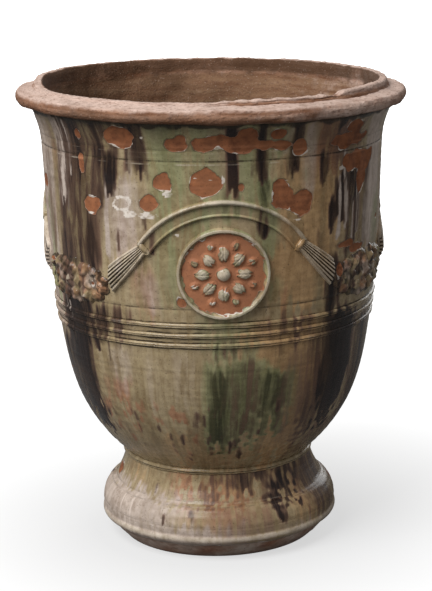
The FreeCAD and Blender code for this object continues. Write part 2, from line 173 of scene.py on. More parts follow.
def chip_edge(points, chips):
    """Distance in mm to the nearest chip's edge, below 0 inside it, kept within 8 mm. A chip is (azimuth,
    level, half width, half height): an ellipse whose outline is made uneven by waves."""
    uneven = 3.2 * waves(points, 30, 21) + 0.8 * waves(points, 10, 22)
    edge = np.full(points.shape[:-1], 8.0)
    for azimuth, level, half_width, half_height in chips:
        across = around(points, azimuth) / half_width
        up = (points[..., 2] - level) / half_height
        size = min(half_width, half_height)
        edge = np.minimum(edge, (np.hypot(across, up) - 1) * size + uneven * min(1, size / 15))
    return np.clip(edge, -8, 8)


def glaze_state(points, runs, chips):
    """What the glaze is like at each point: the cover of each coloured glaze, and the distance to chips."""
    softness = {"brown": 0.5, "green": 0.9, "pale": 0.8, "honey": 0.9, "blush": 0.9}
    state = {name: run_cover(points, runs[name], soft) for name, soft in softness.items()}
    state["chip"] = chip_edge(points, chips)
    ring = chip_edge(points, runs["chalk"])
    state["chalk"] = step_up(1.0, -1.0, ring) * (1 - 0.6 * step_up(-5.0, -8.0, ring))
    state["crest"] = np.zeros(points.shape[:-1])
    state["pool_and_shade"] = np.zeros(points.shape[:-1])
    return state


# Where each glaze ran down the foot, from the left round to the right, and where it flaked.
foot_runs = {
    "brown": [
        (-41, 4, 104, 99, 0.9), (-31, 3, 66, 58, 0.9), (-17, 3, 78, 66, 1.0), (-10, 44, 122, 92, 0.75),
        (-4, 40, 140, 98, 0.7), (7, 4, 118, 108, 1.0), (10, 80, 96, -40, 0.4), (12, 66, 146, 102, 1.05),
        (18, 3, 70, 60, 0.6), (22, 5, 130, 118, 1.0), (28, 17, 98, 66, 1.2), (34, 24, 116, 80, 1.35),
        (41, 26, 132, 95, 1.5), (47, 26, 150, 112, 1.5), (62, 56, 140, 10, 0.9), (80, 60, 110, 0, 0.5),
        (150, 24, 140, 70, 1.1), (205, 16, 140, 60, 1.0), (258, 30, 140, 88, 1.2),
    ],
    "blush": [
        (-35, 30, 104, 84, 0.5), (-28, 40, 138, 112, 0.7), (-20, 30, 118, 88, 1.4), (-6, 34, 118, 88, 1.6),
        (2, 100, 94, -60, 0.6), (4, 16, 126, 112, 0.9), (8, 26, 104, 84, 1.2), (16, 24, 104, 84, 0.8),
        (48, 30, 124, 80, 0.8), (100, 50, 110, 50, 0.6), (215, 60, 120, 60, 0.6),
    ],
    "green": [
        (70, 40, 120, 10, 0.4), (120, 60, 140, 20, 0.5), (230, 30, 140, 60, 0.5),
    ],
    "pale": [
        (-85, 70, 94, -60, 1.1), (-48, 90, 94, -60, 0.95), (-20, 150, 58, -60, 1.1), (0, 70, 70, -60, 0.4),
        (50, 60, 44, -60, 0.7), (120, 150, 44, -60, 0.8), (180, 120, 96, -60, 1.2), (300, 80, 96, -60, 1.3),
    ],
    "honey": [
        (-60, 60, 140, 100, 0.5), (5, 110, 140, 92, 1.0), (55, 70, 140, 20, 1.0),
    ],
    "chalk": [
        (-48, 50, 6, 2), (-36, 52, 8, 2.5),
    ],
}
foot_chips = [
    (92, 70, 20, 12), (160, 100, 24, 8), (215, 60, 16, 10), (275, 104, 16, 9),
]
GLAZE_END = 26.0


def skin(name, points, materials, state, inside=None, poles=False):
    """A closed mesh over a grid of points in mm: a quad joins each point to the next of its row and of its
    column, and rows close on themselves. The last row joins the first, or with poles each end closes in a
    fan. Rows marked inside take the second material. The faces are turned outwards by the signed volume."""
    rows, columns = points.shape[:2]
    number = np.arange(rows * columns).reshape(rows, columns)
    low, high = (number[:-1], number[1:]) if poles else (number, np.roll(number, -1, axis=0))
    quads = np.stack([low, np.roll(low, -1, axis=1), np.roll(high, -1, axis=1), high], axis=-1).reshape(-1, 4)
    places = points.reshape(-1, 3) / MM
    values = {field: value.reshape(-1) for field, value in state.items()}
    fans = np.empty((0, 3), int)
    if poles:
        first, last = number[0], number[-1]
        tip = rows * columns
        fans = np.vstack([
            np.column_stack([np.roll(first, -1), first, np.full(columns, tip)]),
            np.column_stack([last, np.roll(last, -1), np.full(columns, tip + 1)]),
        ])
        ends = [first, last]
        places = np.vstack([places] + [places[end].mean(axis=0) for end in ends])
        values = {field: np.append(value, [value[end].mean() for end in ends])
                  for field, value in values.items()}
    corners = places[quads]
    volume = np.einsum("ij,ij->i", corners[:, 0], np.cross(corners[:, 1], corners[:, 2])).sum()
    volume += np.einsum("ij,ij->i", corners[:, 0], np.cross(corners[:, 2], corners[:, 3])).sum()
    if volume < 0:
        quads = quads[:, ::-1]
        fans = fans[:, ::-1]
    mesh = bpy.data.meshes.new(name)
    mesh.from_pydata(places.tolist(), [], quads.tolist() + fans.tolist())
    mesh.polygons.foreach_set("use_smooth", np.ones(len(mesh.polygons), bool))
    for material in materials:
        mesh.materials.append(material)
    if inside is not None:
        mesh.polygons.foreach_set("material_index", np.repeat(inside, columns).astype(np.int32))
    for field, value in values.items():
        mesh.attributes.new(field, "FLOAT", "POINT").data.foreach_set("value", value.astype(np.float32))
    mesh.update()
    piece = bpy.data.objects.new(name, mesh)
    bpy.context.scene.collection.objects.link(piece)
    return piece


def shade(hex_colour):
    """An sRGB hex colour as linear red, green, blue and alpha: each channel goes through the sRGB curve."""
    channels = [int(hex_colour[place:place + 2], 16) / 255 for place in (1, 3, 5)]
    return [c / 12.92 if c <= 0.04045 else ((c + 0.055) / 1.055) ** 2.4 for c in channels] + [1.0]


def add(tree, kind, inputs, output=0, **settings):
    """Adds a shader node and gives one of its outputs: settings are the node's own properties, and inputs are
    values or outputs of other nodes."""
    made = tree.nodes.new("ShaderNode" + kind)
    for key, value in settings.items():
        setattr(made, key, value)
    for key, value in inputs.items():
        if isinstance(value, bpy.types.NodeSocket):
            tree.links.new(value, made.inputs[key])
        else:
            made.inputs[key].default_value = value
    return made.outputs[output]


FACTOR, UNDER, OVER = 0, 6, 7
COLOUR_MIX = {"output": 2, "data_type": "RGBA"}
BODY_RADIUS = 0.25


def lead_glazed_earthenware():
    """Honey lead glaze over white slip on red earthenware, run and streaked in the kiln with copper green and
    manganese brown. To the eye it is khaki, glossy, streaked up and down, dark where it pooled, painted dark
    as shade just under the rim, pale on crests, and flaked off to matt orange clay with chalky slip along
    some edges of the flakes and a line of painted shade round them."""
    material = bpy.data.materials.new("lead_glazed_earthenware")
    material.use_nodes = True
    tree = material.node_tree
    surface = tree.nodes["Principled BSDF"].inputs
    node = functools.partial(add, tree)
    fields = ("honey", "blush", "pale", "green", "brown", "crest", "pool_and_shade", "chip", "chalk", "grime")
    field = {name: node("Attribute", {}, "Fac", attribute_name=name) for name in fields}

    # Streaks are drawn out downwards, twelve times as long as they are wide, and wander a little. Throwing
    # lines are drawn out round the vase. Sizes are in mm, with the fine grit drawn coarser so that it shows.
    place = node("TexCoord", {}, "Object")
    outward = node("VectorMath", {0: place, 1: (1, 1, 0)}, operation="MULTIPLY")
    outward = node("VectorMath", {0: outward}, operation="NORMALIZE")
    upright = node("VectorMath", {0: place, 1: (0, 0, 0.08)}, operation="MULTIPLY")
    round_body = {0: outward, 1: (BODY_RADIUS, BODY_RADIUS, 0), 2: upright}
    upright = node("VectorMath", round_body, operation="MULTIPLY_ADD")
    wander = node("TexNoise", {"Vector": place, "Scale": MM / 150, "Detail": 2}, "Color")
    wander = node("VectorMath", {0: wander, 1: (0.5, 0.5, 0.5)}, operation="SUBTRACT")
    upright = node("VectorMath", {0: wander, 1: (0.03, 0.03, 0), 2: upright}, operation="MULTIPLY_ADD")
    round_lines = node("Mapping", {"Vector": place, "Scale": (0.04, 0.04, 1)})
    noise = {}
    for name, vector, size, detail in (
        ("streak", upright, 26, 5), ("thread", upright, 7, 5), ("rings", round_lines, 7, 4),
        ("cloud", place, 70, 4), ("patch", place, 24, 2), ("mottle", place, 11, 5), ("grit", place, 2.4, 3),
    ):
        inputs = {"Vector": vector, "Scale": MM / size, "Detail": detail, "Distortion": 0.35}
        noise[name] = node("TexNoise", inputs)
    both = node("Math", {0: noise["streak"], 1: noise["thread"]}, operation="ADD")
    streaks = node("MapRange", {"Value": both, "From Min": 0.84, "From Max": 1.16})
    centred = node("Math", {0: streaks, 1: 0.5}, operation="SUBTRACT")
    clouded = node("Math", {0: noise["cloud"], 1: noise["mottle"]}, operation="ADD")
    clouded = node("MapRange", {"Value": clouded, "From Min": 0.75, "From Max": 1.25})
    soft = node("Mix", {FACTOR: 0.5, 2: streaks, 3: clouded})

    # Each glaze has a tone where it lies thick and one where it is thin, and covers what is under it where
    # its field, made more and less by the streaks, passes from low to high.
    colour = node("Mix", {FACTOR: streaks, UNDER: shade("#7d6a4f"), OVER: shade("#ae9d81")}, **COLOUR_MIX)
    mellow = node("Mix", {FACTOR: clouded, UNDER: shade("#776446"), OVER: shade("#b09e79")}, **COLOUR_MIX)
    colour = node("Mix", {FACTOR: 0.55, UNDER: colour, OVER: mellow}, **COLOUR_MIX)
    for name, shake, low, high, most, tone, thick, thin in (
        ("honey", 0.8, 0.05, 0.80, 0.85, soft, "#8a6b48", "#bf9a6e"),
        ("blush", 0.8, 0.10, 0.90, 0.75, soft, "#784a33", "#ab7a5c"),
        ("pale", 0.5, 0.10, 0.90, 0.85, clouded, "#97867a", "#c6b7ad"),
        ("green", 0.9, 0.05, 0.85, 0.85, soft, "#616540", "#a09f78"),
        ("green", 0.6, 0.60, 1.90, 0.92, streaks, "#191b0e", "#383a22"),
        ("brown", 1.0, 0.08, 0.95, 0.94, streaks, "#34241d", "#6c5244"),
        ("brown", 1.0, 0.65, 1.70, 0.97, streaks, "#0c0807", "#221817"),
        ("pale", 1.0, 1.10, 1.90, 0.75, streaks, "#9d8c7f", "#cbbcb0"),
        ("crest", 0.5, 0.30, 1.00, 0.68, clouded, "#a3957f", "#d2c6b6"),
        # The pool tone darkens pooled glaze, and is also painted shade just under the rim.
        ("pool_and_shade", 0.6, 0.20, 0.80, 0.90, streaks, "#17110c", "#30261a"),
    ):
        shaking = node("Math", {0: centred, 1: shake, 2: 1.0}, operation="MULTIPLY_ADD")
        shaken = node("Math", {0: shaking, 1: field[name]}, operation="MULTIPLY")
        limits = {"Value": shaken, "From Min": low, "From Max": high, "To Max": most}
        cover = node("MapRange", limits, interpolation_type="SMOOTHSTEP")
        toned = node("Mix", {FACTOR: tone, UNDER: shade(thick), OVER: shade(thin)}, **COLOUR_MIX)
        colour = node("Mix", {FACTOR: cover, UNDER: colour, OVER: toned}, **COLOUR_MIX)

    # In a flake the clay is bare. A dark line of painted shade goes round it, chalky slip shows along it here
    # and there, and in lacy patches elsewhere. Iron specks and rain stains lie over everything.
    crumbled = node("Math", {0: noise["mottle"], 1: 1.6, 2: field["chip"]}, operation="MULTIPLY_ADD")
    crumbled = node("Math", {0: noise["grit"], 1: 0.6, 2: crumbled}, operation="MULTIPLY_ADD")
    reach = node("MapRange", {"Value": noise["patch"], "From Min": 0.55, "From Max": 0.75, "To Max": -4.0})
    slipped = node("Math", {0: crumbled, 1: reach}, operation="ADD")
    lacy = node("Math", {0: noise["mottle"], 1: 1.6, 2: field["chalk"]}, operation="MULTIPLY_ADD")
    grimy = node("Math", {0: noise["mottle"], 1: 2.1}, operation="MULTIPLY")
    grimy = node("Math", {0: grimy, 1: field["grime"]}, operation="MULTIPLY")
    flake = node("Mix", {FACTOR: clouded, UNDER: shade("#693e27"), OVER: shade("#9a613f")}, **COLOUR_MIX)
    flake = node("Mix", {FACTOR: field["crest"], UNDER: flake, OVER: shade("#bf8361")}, **COLOUR_MIX)
    share = {}
    for name, value, low, high, most, tone in (
        ("edge_shade", crumbled, 3.0, 1.4, 0.55, shade("#2e1d13")),
        ("slip", slipped, 1.4, 0.6, 0.9, shade("#cfc4b8")),
        ("bare", crumbled, 1.5, 0.8, 1.0, flake),
        ("lace", lacy, 1.60, 1.85, 1.0, shade("#d5cbc0")),
        ("grime", grimy, 0.0, 1.0, 1.0, shade("#b9a89b")),
        ("speck", noise["grit"], 0.62, 0.73, 0.6, shade("#2c1e14")),
        ("stain", noise["cloud"], 0.50, 0.72, 0.3, shade("#4d3826")),
    ):
        limits = {"Value": value, "From Min": low, "From Max": high, "To Max": most}
        share[name] = node("MapRange", limits)
        colour = node("Mix", {FACTOR: share[name], UNDER: colour, OVER: tone}, **COLOUR_MIX)
    tree.links.new(colour, surface["Base Color"])

    # Glaze is glossy, and matt where it is worn pale, flaked or chalky.
    gloss = node("Math", {0: noise["mottle"], 1: 0.25, 2: 0.14}, operation="MULTIPLY_ADD")
    for matt, amount in ((field["pale"], 0.35), (share["bare"], 0.45), (share["lace"], 0.3)):
        gloss = node("Math", {0: matt, 1: amount, 2: gloss}, operation="MULTIPLY_ADD")
    tree.links.new(gloss, surface["Roughness"])
    surface["Specular IOR Level"].default_value = 0.28
    height = 0.0
    for value, amount in (
        (noise["grit"], 0.2), (noise["mottle"], 0.4), (noise["rings"], 0.2), (share["bare"], -0.7),
    ):
        height = node("Math", {0: value, 1: amount, 2: height}, operation="MULTIPLY_ADD")
    relief = node("Bump", {"Height": height, "Distance": 1.0 / MM, "Strength": 0.8})
    tree.links.new(relief, surface["Normal"])
    return material


def bare_earthenware():
    """Unglazed earthenware weathered outdoors: dusty pinkish beige where it is rained on, red-brown where it
    is worn or sheltered, with fine throwing lines round it, lime specks and dark damp stains. The dust also
    holds painted light down the lit side of the inside, and the damp holds painted shade under the lip, on
    the shaded side and under the rim's edge. It is matt."""
    material = bpy.data.materials.new("bare_weathered_earthenware")
    material.use_nodes = True
    tree = material.node_tree
    surface = tree.nodes["Principled BSDF"].inputs
    node = functools.partial(add, tree)
    fields = ("section", "dust_and_light", "damp_and_shade", "tan")
    field = {name: node("Attribute", {}, "Fac", attribute_name=name) for name in fields}

    # Throwing lines and scratches run round the vase, side by side along its section. Sizes are in mm, with
    # the fine grit drawn coarser so that it shows.
    place = node("TexCoord", {}, "Object")
    outward = node("VectorMath", {0: place, 1: (1, 1, 0)}, operation="MULTIPLY")
    outward = node("VectorMath", {0: outward}, operation="NORMALIZE")
    section = node("CombineXYZ", {"Z": field["section"]})
    worked = node("VectorMath", {0: outward, 1: (0.03, 0.03, 0), 2: section}, operation="MULTIPLY_ADD")
    rubbed = node("VectorMath", {0: outward, 1: (0.14, 0.14, 0), 2: section}, operation="MULTIPLY_ADD")
    noise = {}
    for name, vector, size, detail in (
        ("rings", worked, 8, 5), ("scratch", rubbed, 3, 4), ("cloud", place, 60, 5), ("mottle", place, 14, 6),
        ("grit", place, 2.6, 3),
    ):
        noise[name] = node("TexNoise", {"Vector": vector, "Scale": MM / size, "Detail": detail})
    dusty_and_lit = node("Math", {0: noise["mottle"], 1: 0.8, 2: field["dust_and_light"]}, operation="MULTIPLY_ADD")
    dusty_and_lit = node("Math", {0: noise["rings"], 1: 0.8, 2: dusty_and_lit}, operation="MULTIPLY_ADD")
    damp_and_shade = node("Math", {0: noise["cloud"], 1: field["damp_and_shade"]}, operation="ADD")
    limits = {"Value": noise["rings"], "From Min": 0.35, "From Max": 0.65, "To Min": 0.4, "To Max": 0.9}
    tan = node("Math", {0: node("MapRange", limits), 1: field["tan"]}, operation="MULTIPLY")
    slipped = {FACTOR: noise["rings"], UNDER: shade("#5f4632"), OVER: shade("#8a6c50")}
    slipped = node("Mix", slipped, **COLOUR_MIX)
    dust_and_light_tone = {FACTOR: noise["mottle"], UNDER: shade("#a3887a"), OVER: shade("#d3bbae")}
    dust_and_light_tone = node("Mix", dust_and_light_tone, **COLOUR_MIX)
    colour = shade("#6f4a34")
    for value, low, high, most, step, tone in (
        (noise["rings"], 0.35, 0.65, 1.0, "LINEAR", shade("#94705a")),
        (noise["mottle"], 0.52, 0.72, 0.6, "LINEAR", shade("#5a3d2c")),
        (tan, 0.0, 1.0, 1.0, "LINEAR", slipped),
        # Pale dust, and painted light down the lit side of the inside.
        (dusty_and_lit, 0.85, 1.85, 1.0, "SMOOTHSTEP", dust_and_light_tone),
        (noise["scratch"], 0.54, 0.68, 0.6, "LINEAR", shade("#5e4031")),
        # Damp stains, and painted shade inside under the lip, on the shaded side and under the rim's edge.
        (damp_and_shade, 0.55, 1.05, 0.85, "LINEAR", shade("#46301f")),
        (noise["grit"], 0.62, 0.78, 0.4, "LINEAR", shade("#cbb8aa")),
    ):
        limits = {"Value": value, "From Min": low, "From Max": high, "To Max": most}
        share = node("MapRange", limits, interpolation_type=step)
        colour = node("Mix", {FACTOR: share, UNDER: colour, OVER: tone}, **COLOUR_MIX)
    tree.links.new(colour, surface["Base Color"])
    surface["Roughness"].default_value = 0.88
    surface["Specular IOR Level"].default_value = 0.25
    height = 0.0
    for name, amount in (("grit", 0.7), ("rings", 0.6), ("scratch", 0.9), ("mottle", 0.8)):
        height = node("Math", {0: noise[name], 1: amount, 2: height}, operation="MULTIPLY_ADD")
    relief = node("Bump", {"Height": height, "Distance": 1.6 / MM, "Strength": 0.8})
    tree.links.new(relief, surface["Normal"])
    return material


glaze = lead_glazed_earthenware()
clay = bare_earthenware()

ROW = 2.4
INNER_ROW = 8.0
foot_outside = np.vstack([
    straight(ROW, standing, bevel),
    arc(bevel, bead, groove, ROW / 2),
    arc(groove, swell, waist, ROW),
    straight(ROW / 2, waist, inset(waist, FOOT_STEP)),
    arc(inset(waist, FOOT_STEP), throat, neck, ROW),
])
foot_inside = np.vstack([
    arc(inset(neck, FOOT_THICKNESS), inset(throat, FOOT_THICKNESS), inset(waist, FOOT_THICKNESS), INNER_ROW),
    arc(inset(waist, FOOT_THICKNESS), inset(swell, FOOT_THICKNESS), inset(groove, FOOT_THICKNESS), INNER_ROW),
    straight(INNER_ROW, inset(bevel, FOOT_THICKNESS), inset(standing, FOOT_THICKNESS)),
])


LINE_WIDTH = 3.0
FINGER_PITCH = 11.0
FINGER_RIDGE = 0.14
SLOW_WAVER = 0.8


def scored(level, depth, width, points):
    """The push of an incised line round the vase: a round-bottomed groove of this depth and width, in mm."""
    return -depth * np.exp(-((points[..., 2] - level) / (width / 2)) ** 2)


def thrown(points):
    """The push of the potter's hands, in mm: ridges a finger apart, and a slow waver round the vase."""
    ridge = FINGER_RIDGE * np.sin(points[..., 2] / FINGER_PITCH * math.tau + 1.5 * waves(points, 220, 31))
    return ridge * (0.6 + 0.4 * waves(points, 150, 32)) + SLOW_WAVER * waves(points, 300, 33)


def along(section):
    """How far along a section each of its points lies, in metres, for every column of its turned grid."""
    steps = np.linalg.norm(np.diff(section, axis=0, prepend=section[:1]), axis=1)
    return np.repeat(np.cumsum(steps)[:, None] / MM, COLUMNS, axis=1)


FOOT_LINES = ((92, 0.9), (85, 0.7), (76, 0.3), (66, 0.3), (56, 0.8), (49, 0.5))
BARE_ROUGHNESS = 0.5
foot_section = closed(foot_outside, foot_inside)
foot_is_inside = np.arange(len(foot_section)) >= len(closed(foot_outside))
points = turned(foot_section)
state = glaze_state(points, foot_runs, foot_chips)
state["chip"] = np.minimum(state["chip"], points[..., 2] - GLAZE_END + 1.3 * waves(points, 40, 41))
state["grime"] = 0.62 + 0.25 * waves(points, 60, 45)
state["grime"] *= step_up(GLAZE_END + 4, GLAZE_END - 2, points[..., 2])
over_bead = (points[..., 2] - bead[1] - 2.5) / 5.0
state["crest"] = 1.3 * np.exp(-over_bead ** 2) * (0.8 + 0.3 * waves(points, 50, 43))
state["section"] = along(foot_section)
push = thrown(points)
for line_level, depth in FOOT_LINES:
    line = scored(line_level, depth, LINE_WIDTH, points)
    push = push + line
    under_line = scored(line_level - LINE_WIDTH, depth, LINE_WIDTH, points)
    state["pool_and_shade"] = np.maximum(state["pool_and_shade"], -0.6 * line)
    state["crest"] = np.maximum(state["crest"], -0.5 * under_line)
push += BARE_ROUGHNESS * waves(points, 18, 42) * step_up(GLAZE_END, GLAZE_END - 4, points[..., 2])
push = np.where(foot_is_inside[:, None], 0.0, push) * step_up(0, 8, points[..., 2])
foot = skin("glazed_foot", turned(foot_section, push), [glaze, clay], state, foot_is_inside)
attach(foot, "root")
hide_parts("foot")

# Bowl
# The lower body, thrown as a deep bowl with a drain hole in its floor. A spigot under it sits in the foot,
# and the wall sits over a tongue on its top edge. It is glazed outside and bare inside.

SEAM = level_of("wall", 0)
GIRTH_RADIUS = 247.0
NECK_LEAN = 47.5
GIRTH_LEAN = 6.7
SHOULDER_LEAN = 2.4
MOUTH_LEAN = 27.0
HANDLE_SHARE = 0.40
WALL_THICKNESS = 20.0
FLOOR_THICKNESS = 26.0
FLOOR_CORNER = 30.0
DRAIN_RADIUS = 20.0
SPIGOT_DEPTH = 8.0
TONGUE_THICKNESS = 9.0
SLIP_ROOM = 0.3
girth = (GIRTH_RADIUS, SEAM)


def flow(low, low_lean, high, high_lean, step):
    """Points about this many mm apart on a cubic curve that leaves each end along its lean from the upright,
    with handles of a fixed share of the chord."""
    chord = math.dist(low, high)
    handle = chord * HANDLE_SHARE
    low_turn, high_turn = math.radians(low_lean), math.radians(high_lean)
    leaving = np.add(low, (handle * math.sin(low_turn), handle * math.cos(low_turn)))
    arriving = np.subtract(high, (handle * math.sin(high_turn), handle * math.cos(high_turn)))
    share = np.linspace(0, 1, max(4, round(chord / step)))[:, None]
    rest = 1 - share
    ends = rest ** 3 * np.array(low) + share ** 3 * np.array(high)
    return ends + 3 * rest ** 2 * share * leaving + 3 * rest * share ** 2 * arriving


# Where each glaze ran down bowl and wall, from the left round to the right, and where it flaked.
body_runs = {
    "brown": [
        (-73, 26, 345, 185, 1.5), (-62, 12, 520, 400, 1.05), (-61, 32, 410, 205, 2.2),
        (-60, 22, 470, 395, 1.4), (-57, 34, 425, 310, 1.9), (-53, 58, 705, 430, 1.0),
        (-52.5, 6, 610, 470, 1.12), (-51, 11, 700, 470, 1.12), (-48.5, 10, 700, 455, 1.33),
        (-48, 26, 705, 450, 1.0), (-48, 16, 400, 330, 1.2), (-48, 5, 208, 194, 0.45),
        (-46, 9, 700, 500, 1.12), (-46, 74, 408, 352, 1.35), (-45, 6, 560, 475, 0.7),
        (-43, 8, 700, 540, 0.98), (-42, 50, 705, 668, 1.3), (-41, 8, 700, 560, 1.19),
        (-40, 40, 705, 590, 0.5), (-39.5, 5, 700, 640, 0.7), (-37.5, 12, 648, 583, 1.9),
        (-37, 3, 214, 203, 0.7), (-36, 8, 690, 580, 1.05), (-34.5, 5, 527, 505, 0.84),
        (-32, 3, 665, 600, 0.35), (-32, 3.5, 225, 199, 0.84), (-30, 7, 700, 610, 1.05),
        (-28, 4, 232, 214, 0.91), (-26, 11, 700, 606, 1.6), (-25.5, 3, 553, 538, 0.98),
        (-22.5, 6, 532, 497, 1.05), (-18.5, 3, 217, 188, 0.91), (-17, 5, 166, 155, 0.98),
        (-15, 60, 705, 640, 0.42), (-10, 3, 252, 234, 0.84), (-2.5, 3, 352, 322, 0.7),
        (0, 120, 705, 600, 0.32), (0, 240, 705, 668, 0.42), (0, 220, 700, 150, 0.16),
        (0, 260, 408, 356, 0.35), (0, 200, 185, 138, 0.35), (3, 3, 197, 181, 1.12),
        (3.5, 7.5, 700, 580, 1.6), (4, 60, 368, 343, 0.6), (6, 30, 338, 205, 0.45),
        (11.8, 8, 700, 602, 1.7), (12.5, 8, 562, 518, 1.7), (15, 60, 560, 400, 0.22),
        (15, 20, 165, 138, 0.45), (22, 100, 403, 352, 0.85), (23.7, 8, 700, 600, 1.7),
        (26, 30, 350, 190, 0.45), (28, 30, 300, 150, 0.35), (34, 6, 520, 470, 0.8),
        (35.3, 8, 640, 588, 1.4), (37, 24, 370, 175, 0.8), (37.8, 3.5, 572, 518, 1.5),
        (38, 46, 350, 160, 0.55), (39, 5, 568, 525, 1.05), (40, 4, 600, 530, 1.2),
        (40.5, 14, 475, 385, 1.9), (41, 9, 700, 662, 1.33), (42, 70, 705, 590, 0.6), (43, 4, 600, 525, 1.4),
        (45, 60, 200, 138, 0.5), (45.5, 7, 470, 440, 0.98), (46.5, 7, 560, 470, 1.0),
        (46.5, 38, 390, 205, 2.3), (47.5, 20, 616, 548, 1.3), (51, 8, 600, 490, 1.0),
        (52, 70, 220, 138, 0.6), (53, 26, 570, 495, 0.5), (57, 9, 620, 480, 0.77), (66, 30, 378, 180, 1.2),
    ],
    "green": [
        (-18, 17, 580, 405, 0.65), (-17, 28, 705, 555, 0.95), (-12, 16, 560, 500, 0.5),
        (-8, 20, 570, 520, 0.9), (-6, 26, 705, 560, 0.7), (-2.5, 5, 375, 330, 1.4), (-2, 20, 328, 178, 2.0),
        (2, 60, 405, 352, 0.8), (4, 30, 592, 556, 1.1), (4, 50, 366, 336, 1.1), (7, 38, 335, 190, 1.4),
        (9, 28, 705, 550, 0.8), (13, 14, 615, 562, 1.7), (14, 15, 570, 485, 0.95), (17, 10, 460, 415, 0.65),
        (18, 30, 318, 205, 1.7), (19, 10, 705, 640, 0.85), (28, 8, 620, 590, 0.35),
    ],
    "blush": [
        (-65, 16, 645, 600, 0.7), (-65, 16, 420, 340, 1.0), (-64, 12, 440, 422, 0.7),
        (-60, 40, 700, 560, 0.35), (-52, 20, 258, 228, 1.1), (-48, 8, 230, 208, 0.9),
        (-42, 26, 298, 246, 1.1), (-38, 8, 226, 206, 0.9), (-33.5, 10, 260, 238, 1.2),
        (-33, 30, 560, 480, 0.4), (-27, 7, 244, 226, 1.0), (-26, 24, 475, 392, 0.6),
        (-20, 30, 175, 140, 0.4), (-19, 9, 254, 236, 1.2), (0, 60, 405, 380, 0.3), (0, 40, 250, 170, 0.5),
        (20, 30, 440, 395, 0.45), (38, 46, 705, 590, 0.9), (38, 30, 330, 250, 0.7), (42, 8, 475, 442, 0.7),
    ],
    "pale": [
        (-78, 44, 700, 330, 1.0), (-69, 8, 690, 430, 0.8), (-65, 10, 415, 345, 1.6),
        (-60, 13, 705, 545, 1.8), (-54.5, 4, 700, 600, 1.7), (-40, 26, 352, 268, 0.45),
        (-39, 3, 610, 480, 1.6), (-38.5, 6, 600, 470, 0.5), (-33, 32, 612, 470, 0.65),
        (-29.5, 6, 665, 600, 0.6), (-27, 10, 350, 230, 0.3), (-24, 26, 470, 400, 0.5),
        (-14, 18, 356, 250, 0.3), (16, 12, 680, 660, 0.4), (21, 6, 690, 640, 0.5), (29, 12, 690, 560, 0.6),
        (41.5, 4, 600, 500, 1.7), (45, 4, 640, 520, 1.7), (48.5, 3, 560, 490, 1.6),
        (51.5, 5, 625, 493, 1.7), (57, 4, 560, 480, 1.6), (61, 5, 640, 500, 1.5), (62, 22, 705, 480, 1.3),
        (66, 24, 660, 420, 0.9),
    ],
    "honey": [
        (-10, 200, 215, 130, 0.6), (24, 46, 510, 395, 1.3), (24, 80, 400, 140, 0.9),
        (30, 48, 640, 400, 0.9), (36, 30, 700, 600, 0.6), (60, 60, 640, 400, 0.4),
    ],
    "chalk": [
        (-48.8, 658, 6, 2), (-45.5, 552, 11, 2), (-45.5, 577, 9, 3), (-33, 570, 16, 12), (-31, 557, 13, 7),
        (-23, 555, 17, 6), (-17.5, 587, 9, 6), (-14.5, 528, 7, 6), (-8.5, 611, 4, 2), (-3.5, 609, 12, 2),
        (0.3, 609, 3, 9), (6, 590, 5, 2), (10.5, 598, 5, 2), (21, 603, 7, 2), (25, 543, 9, 2),
    ],
}
body_chips = [
    (-49, 624, 8, 15), (-48.8, 665, 6, 8), (-45.5, 565, 16, 13), (-32.5, 668, 29, 14), (-23.5, 575, 15, 13),
    (-19, 604, 14, 13), (-14, 427, 8, 7), (-13.5, 658, 17, 9), (-12.5, 666, 8, 7), (-5, 602, 23, 20),
    (-5, 661, 22, 12), (2, 660, 22, 13), (5.8, 596, 5, 6), (7, 660, 22, 14), (8, 673, 15, 9),
    (13, 656, 22, 8), (17.5, 672, 11, 7), (18, 655, 22, 7), (19.5, 581, 17, 24), (25, 649, 15, 13),
    (26.5, 566, 19, 20), (43, 455, 5, 10), (46, 651, 40, 12), (46, 493, 20, 6), (48, 672, 22, 9),
    (52, 483, 20, 7), (53, 617, 40, 17), (53.5, 588, 12, 20),
]

# Small drips low on the bowl's front, and the runs and flakes of the back, are seeded draws.
LOW_DRIPS = 34
draw = np.random.default_rng(3)
for glaze_name, strongest in (("brown", 1.1), ("blush", 1.3)):
    starts = draw.uniform(185, 270, LOW_DRIPS)
    ends = starts - draw.uniform(8, 26, LOW_DRIPS)
    azimuths = draw.uniform(-56, 34, LOW_DRIPS)
    sizes = draw.uniform(1.6, 4.0, LOW_DRIPS)
    body_runs[glaze_name] += zip(azimuths, sizes, starts, ends, draw.uniform(0.4, strongest, LOW_DRIPS))
BACK_FROM, BACK_TO = 76.0, 284.0
draw = np.random.default_rng(5)
for glaze_name, count, widths, tops, lengths in (
    ("brown", 26, (4, 20), (470, 700), (60, 250)),
    ("green", 12, (8, 26), (420, 700), (90, 260)),
    ("pale", 10, (6, 34), (420, 690), (80, 240)),
    ("honey", 6, (30, 60), (450, 700), (150, 320)),
    ("brown", 14, (3, 30), (250, 400), (20, 170)),
    ("green", 6, (10, 34), (300, 400), (60, 170)),
):
    azimuths = np.linspace(BACK_FROM, BACK_TO, count) + draw.uniform(-6, 6, count)
    sizes = draw.uniform(*widths, count)
    starts = draw.uniform(*tops, count)
    ends = starts - draw.uniform(*lengths, count)
    strengths = draw.uniform(0.5, 1.0, count)
    body_runs[glaze_name] += zip(azimuths, sizes, starts, ends, strengths)
for count, levels, sizes in ((26, (560, 680), (5, 22)), (8, (410, 540), (4, 10)), (10, (190, 330), (4, 11))):
    azimuths = np.linspace(BACK_FROM, BACK_TO, count) + draw.uniform(-7, 7, count)
    widths = draw.uniform(*sizes, count)
    body_chips += zip(azimuths, draw.uniform(*levels, count), widths, widths * draw.uniform(0.5, 0.9, count))

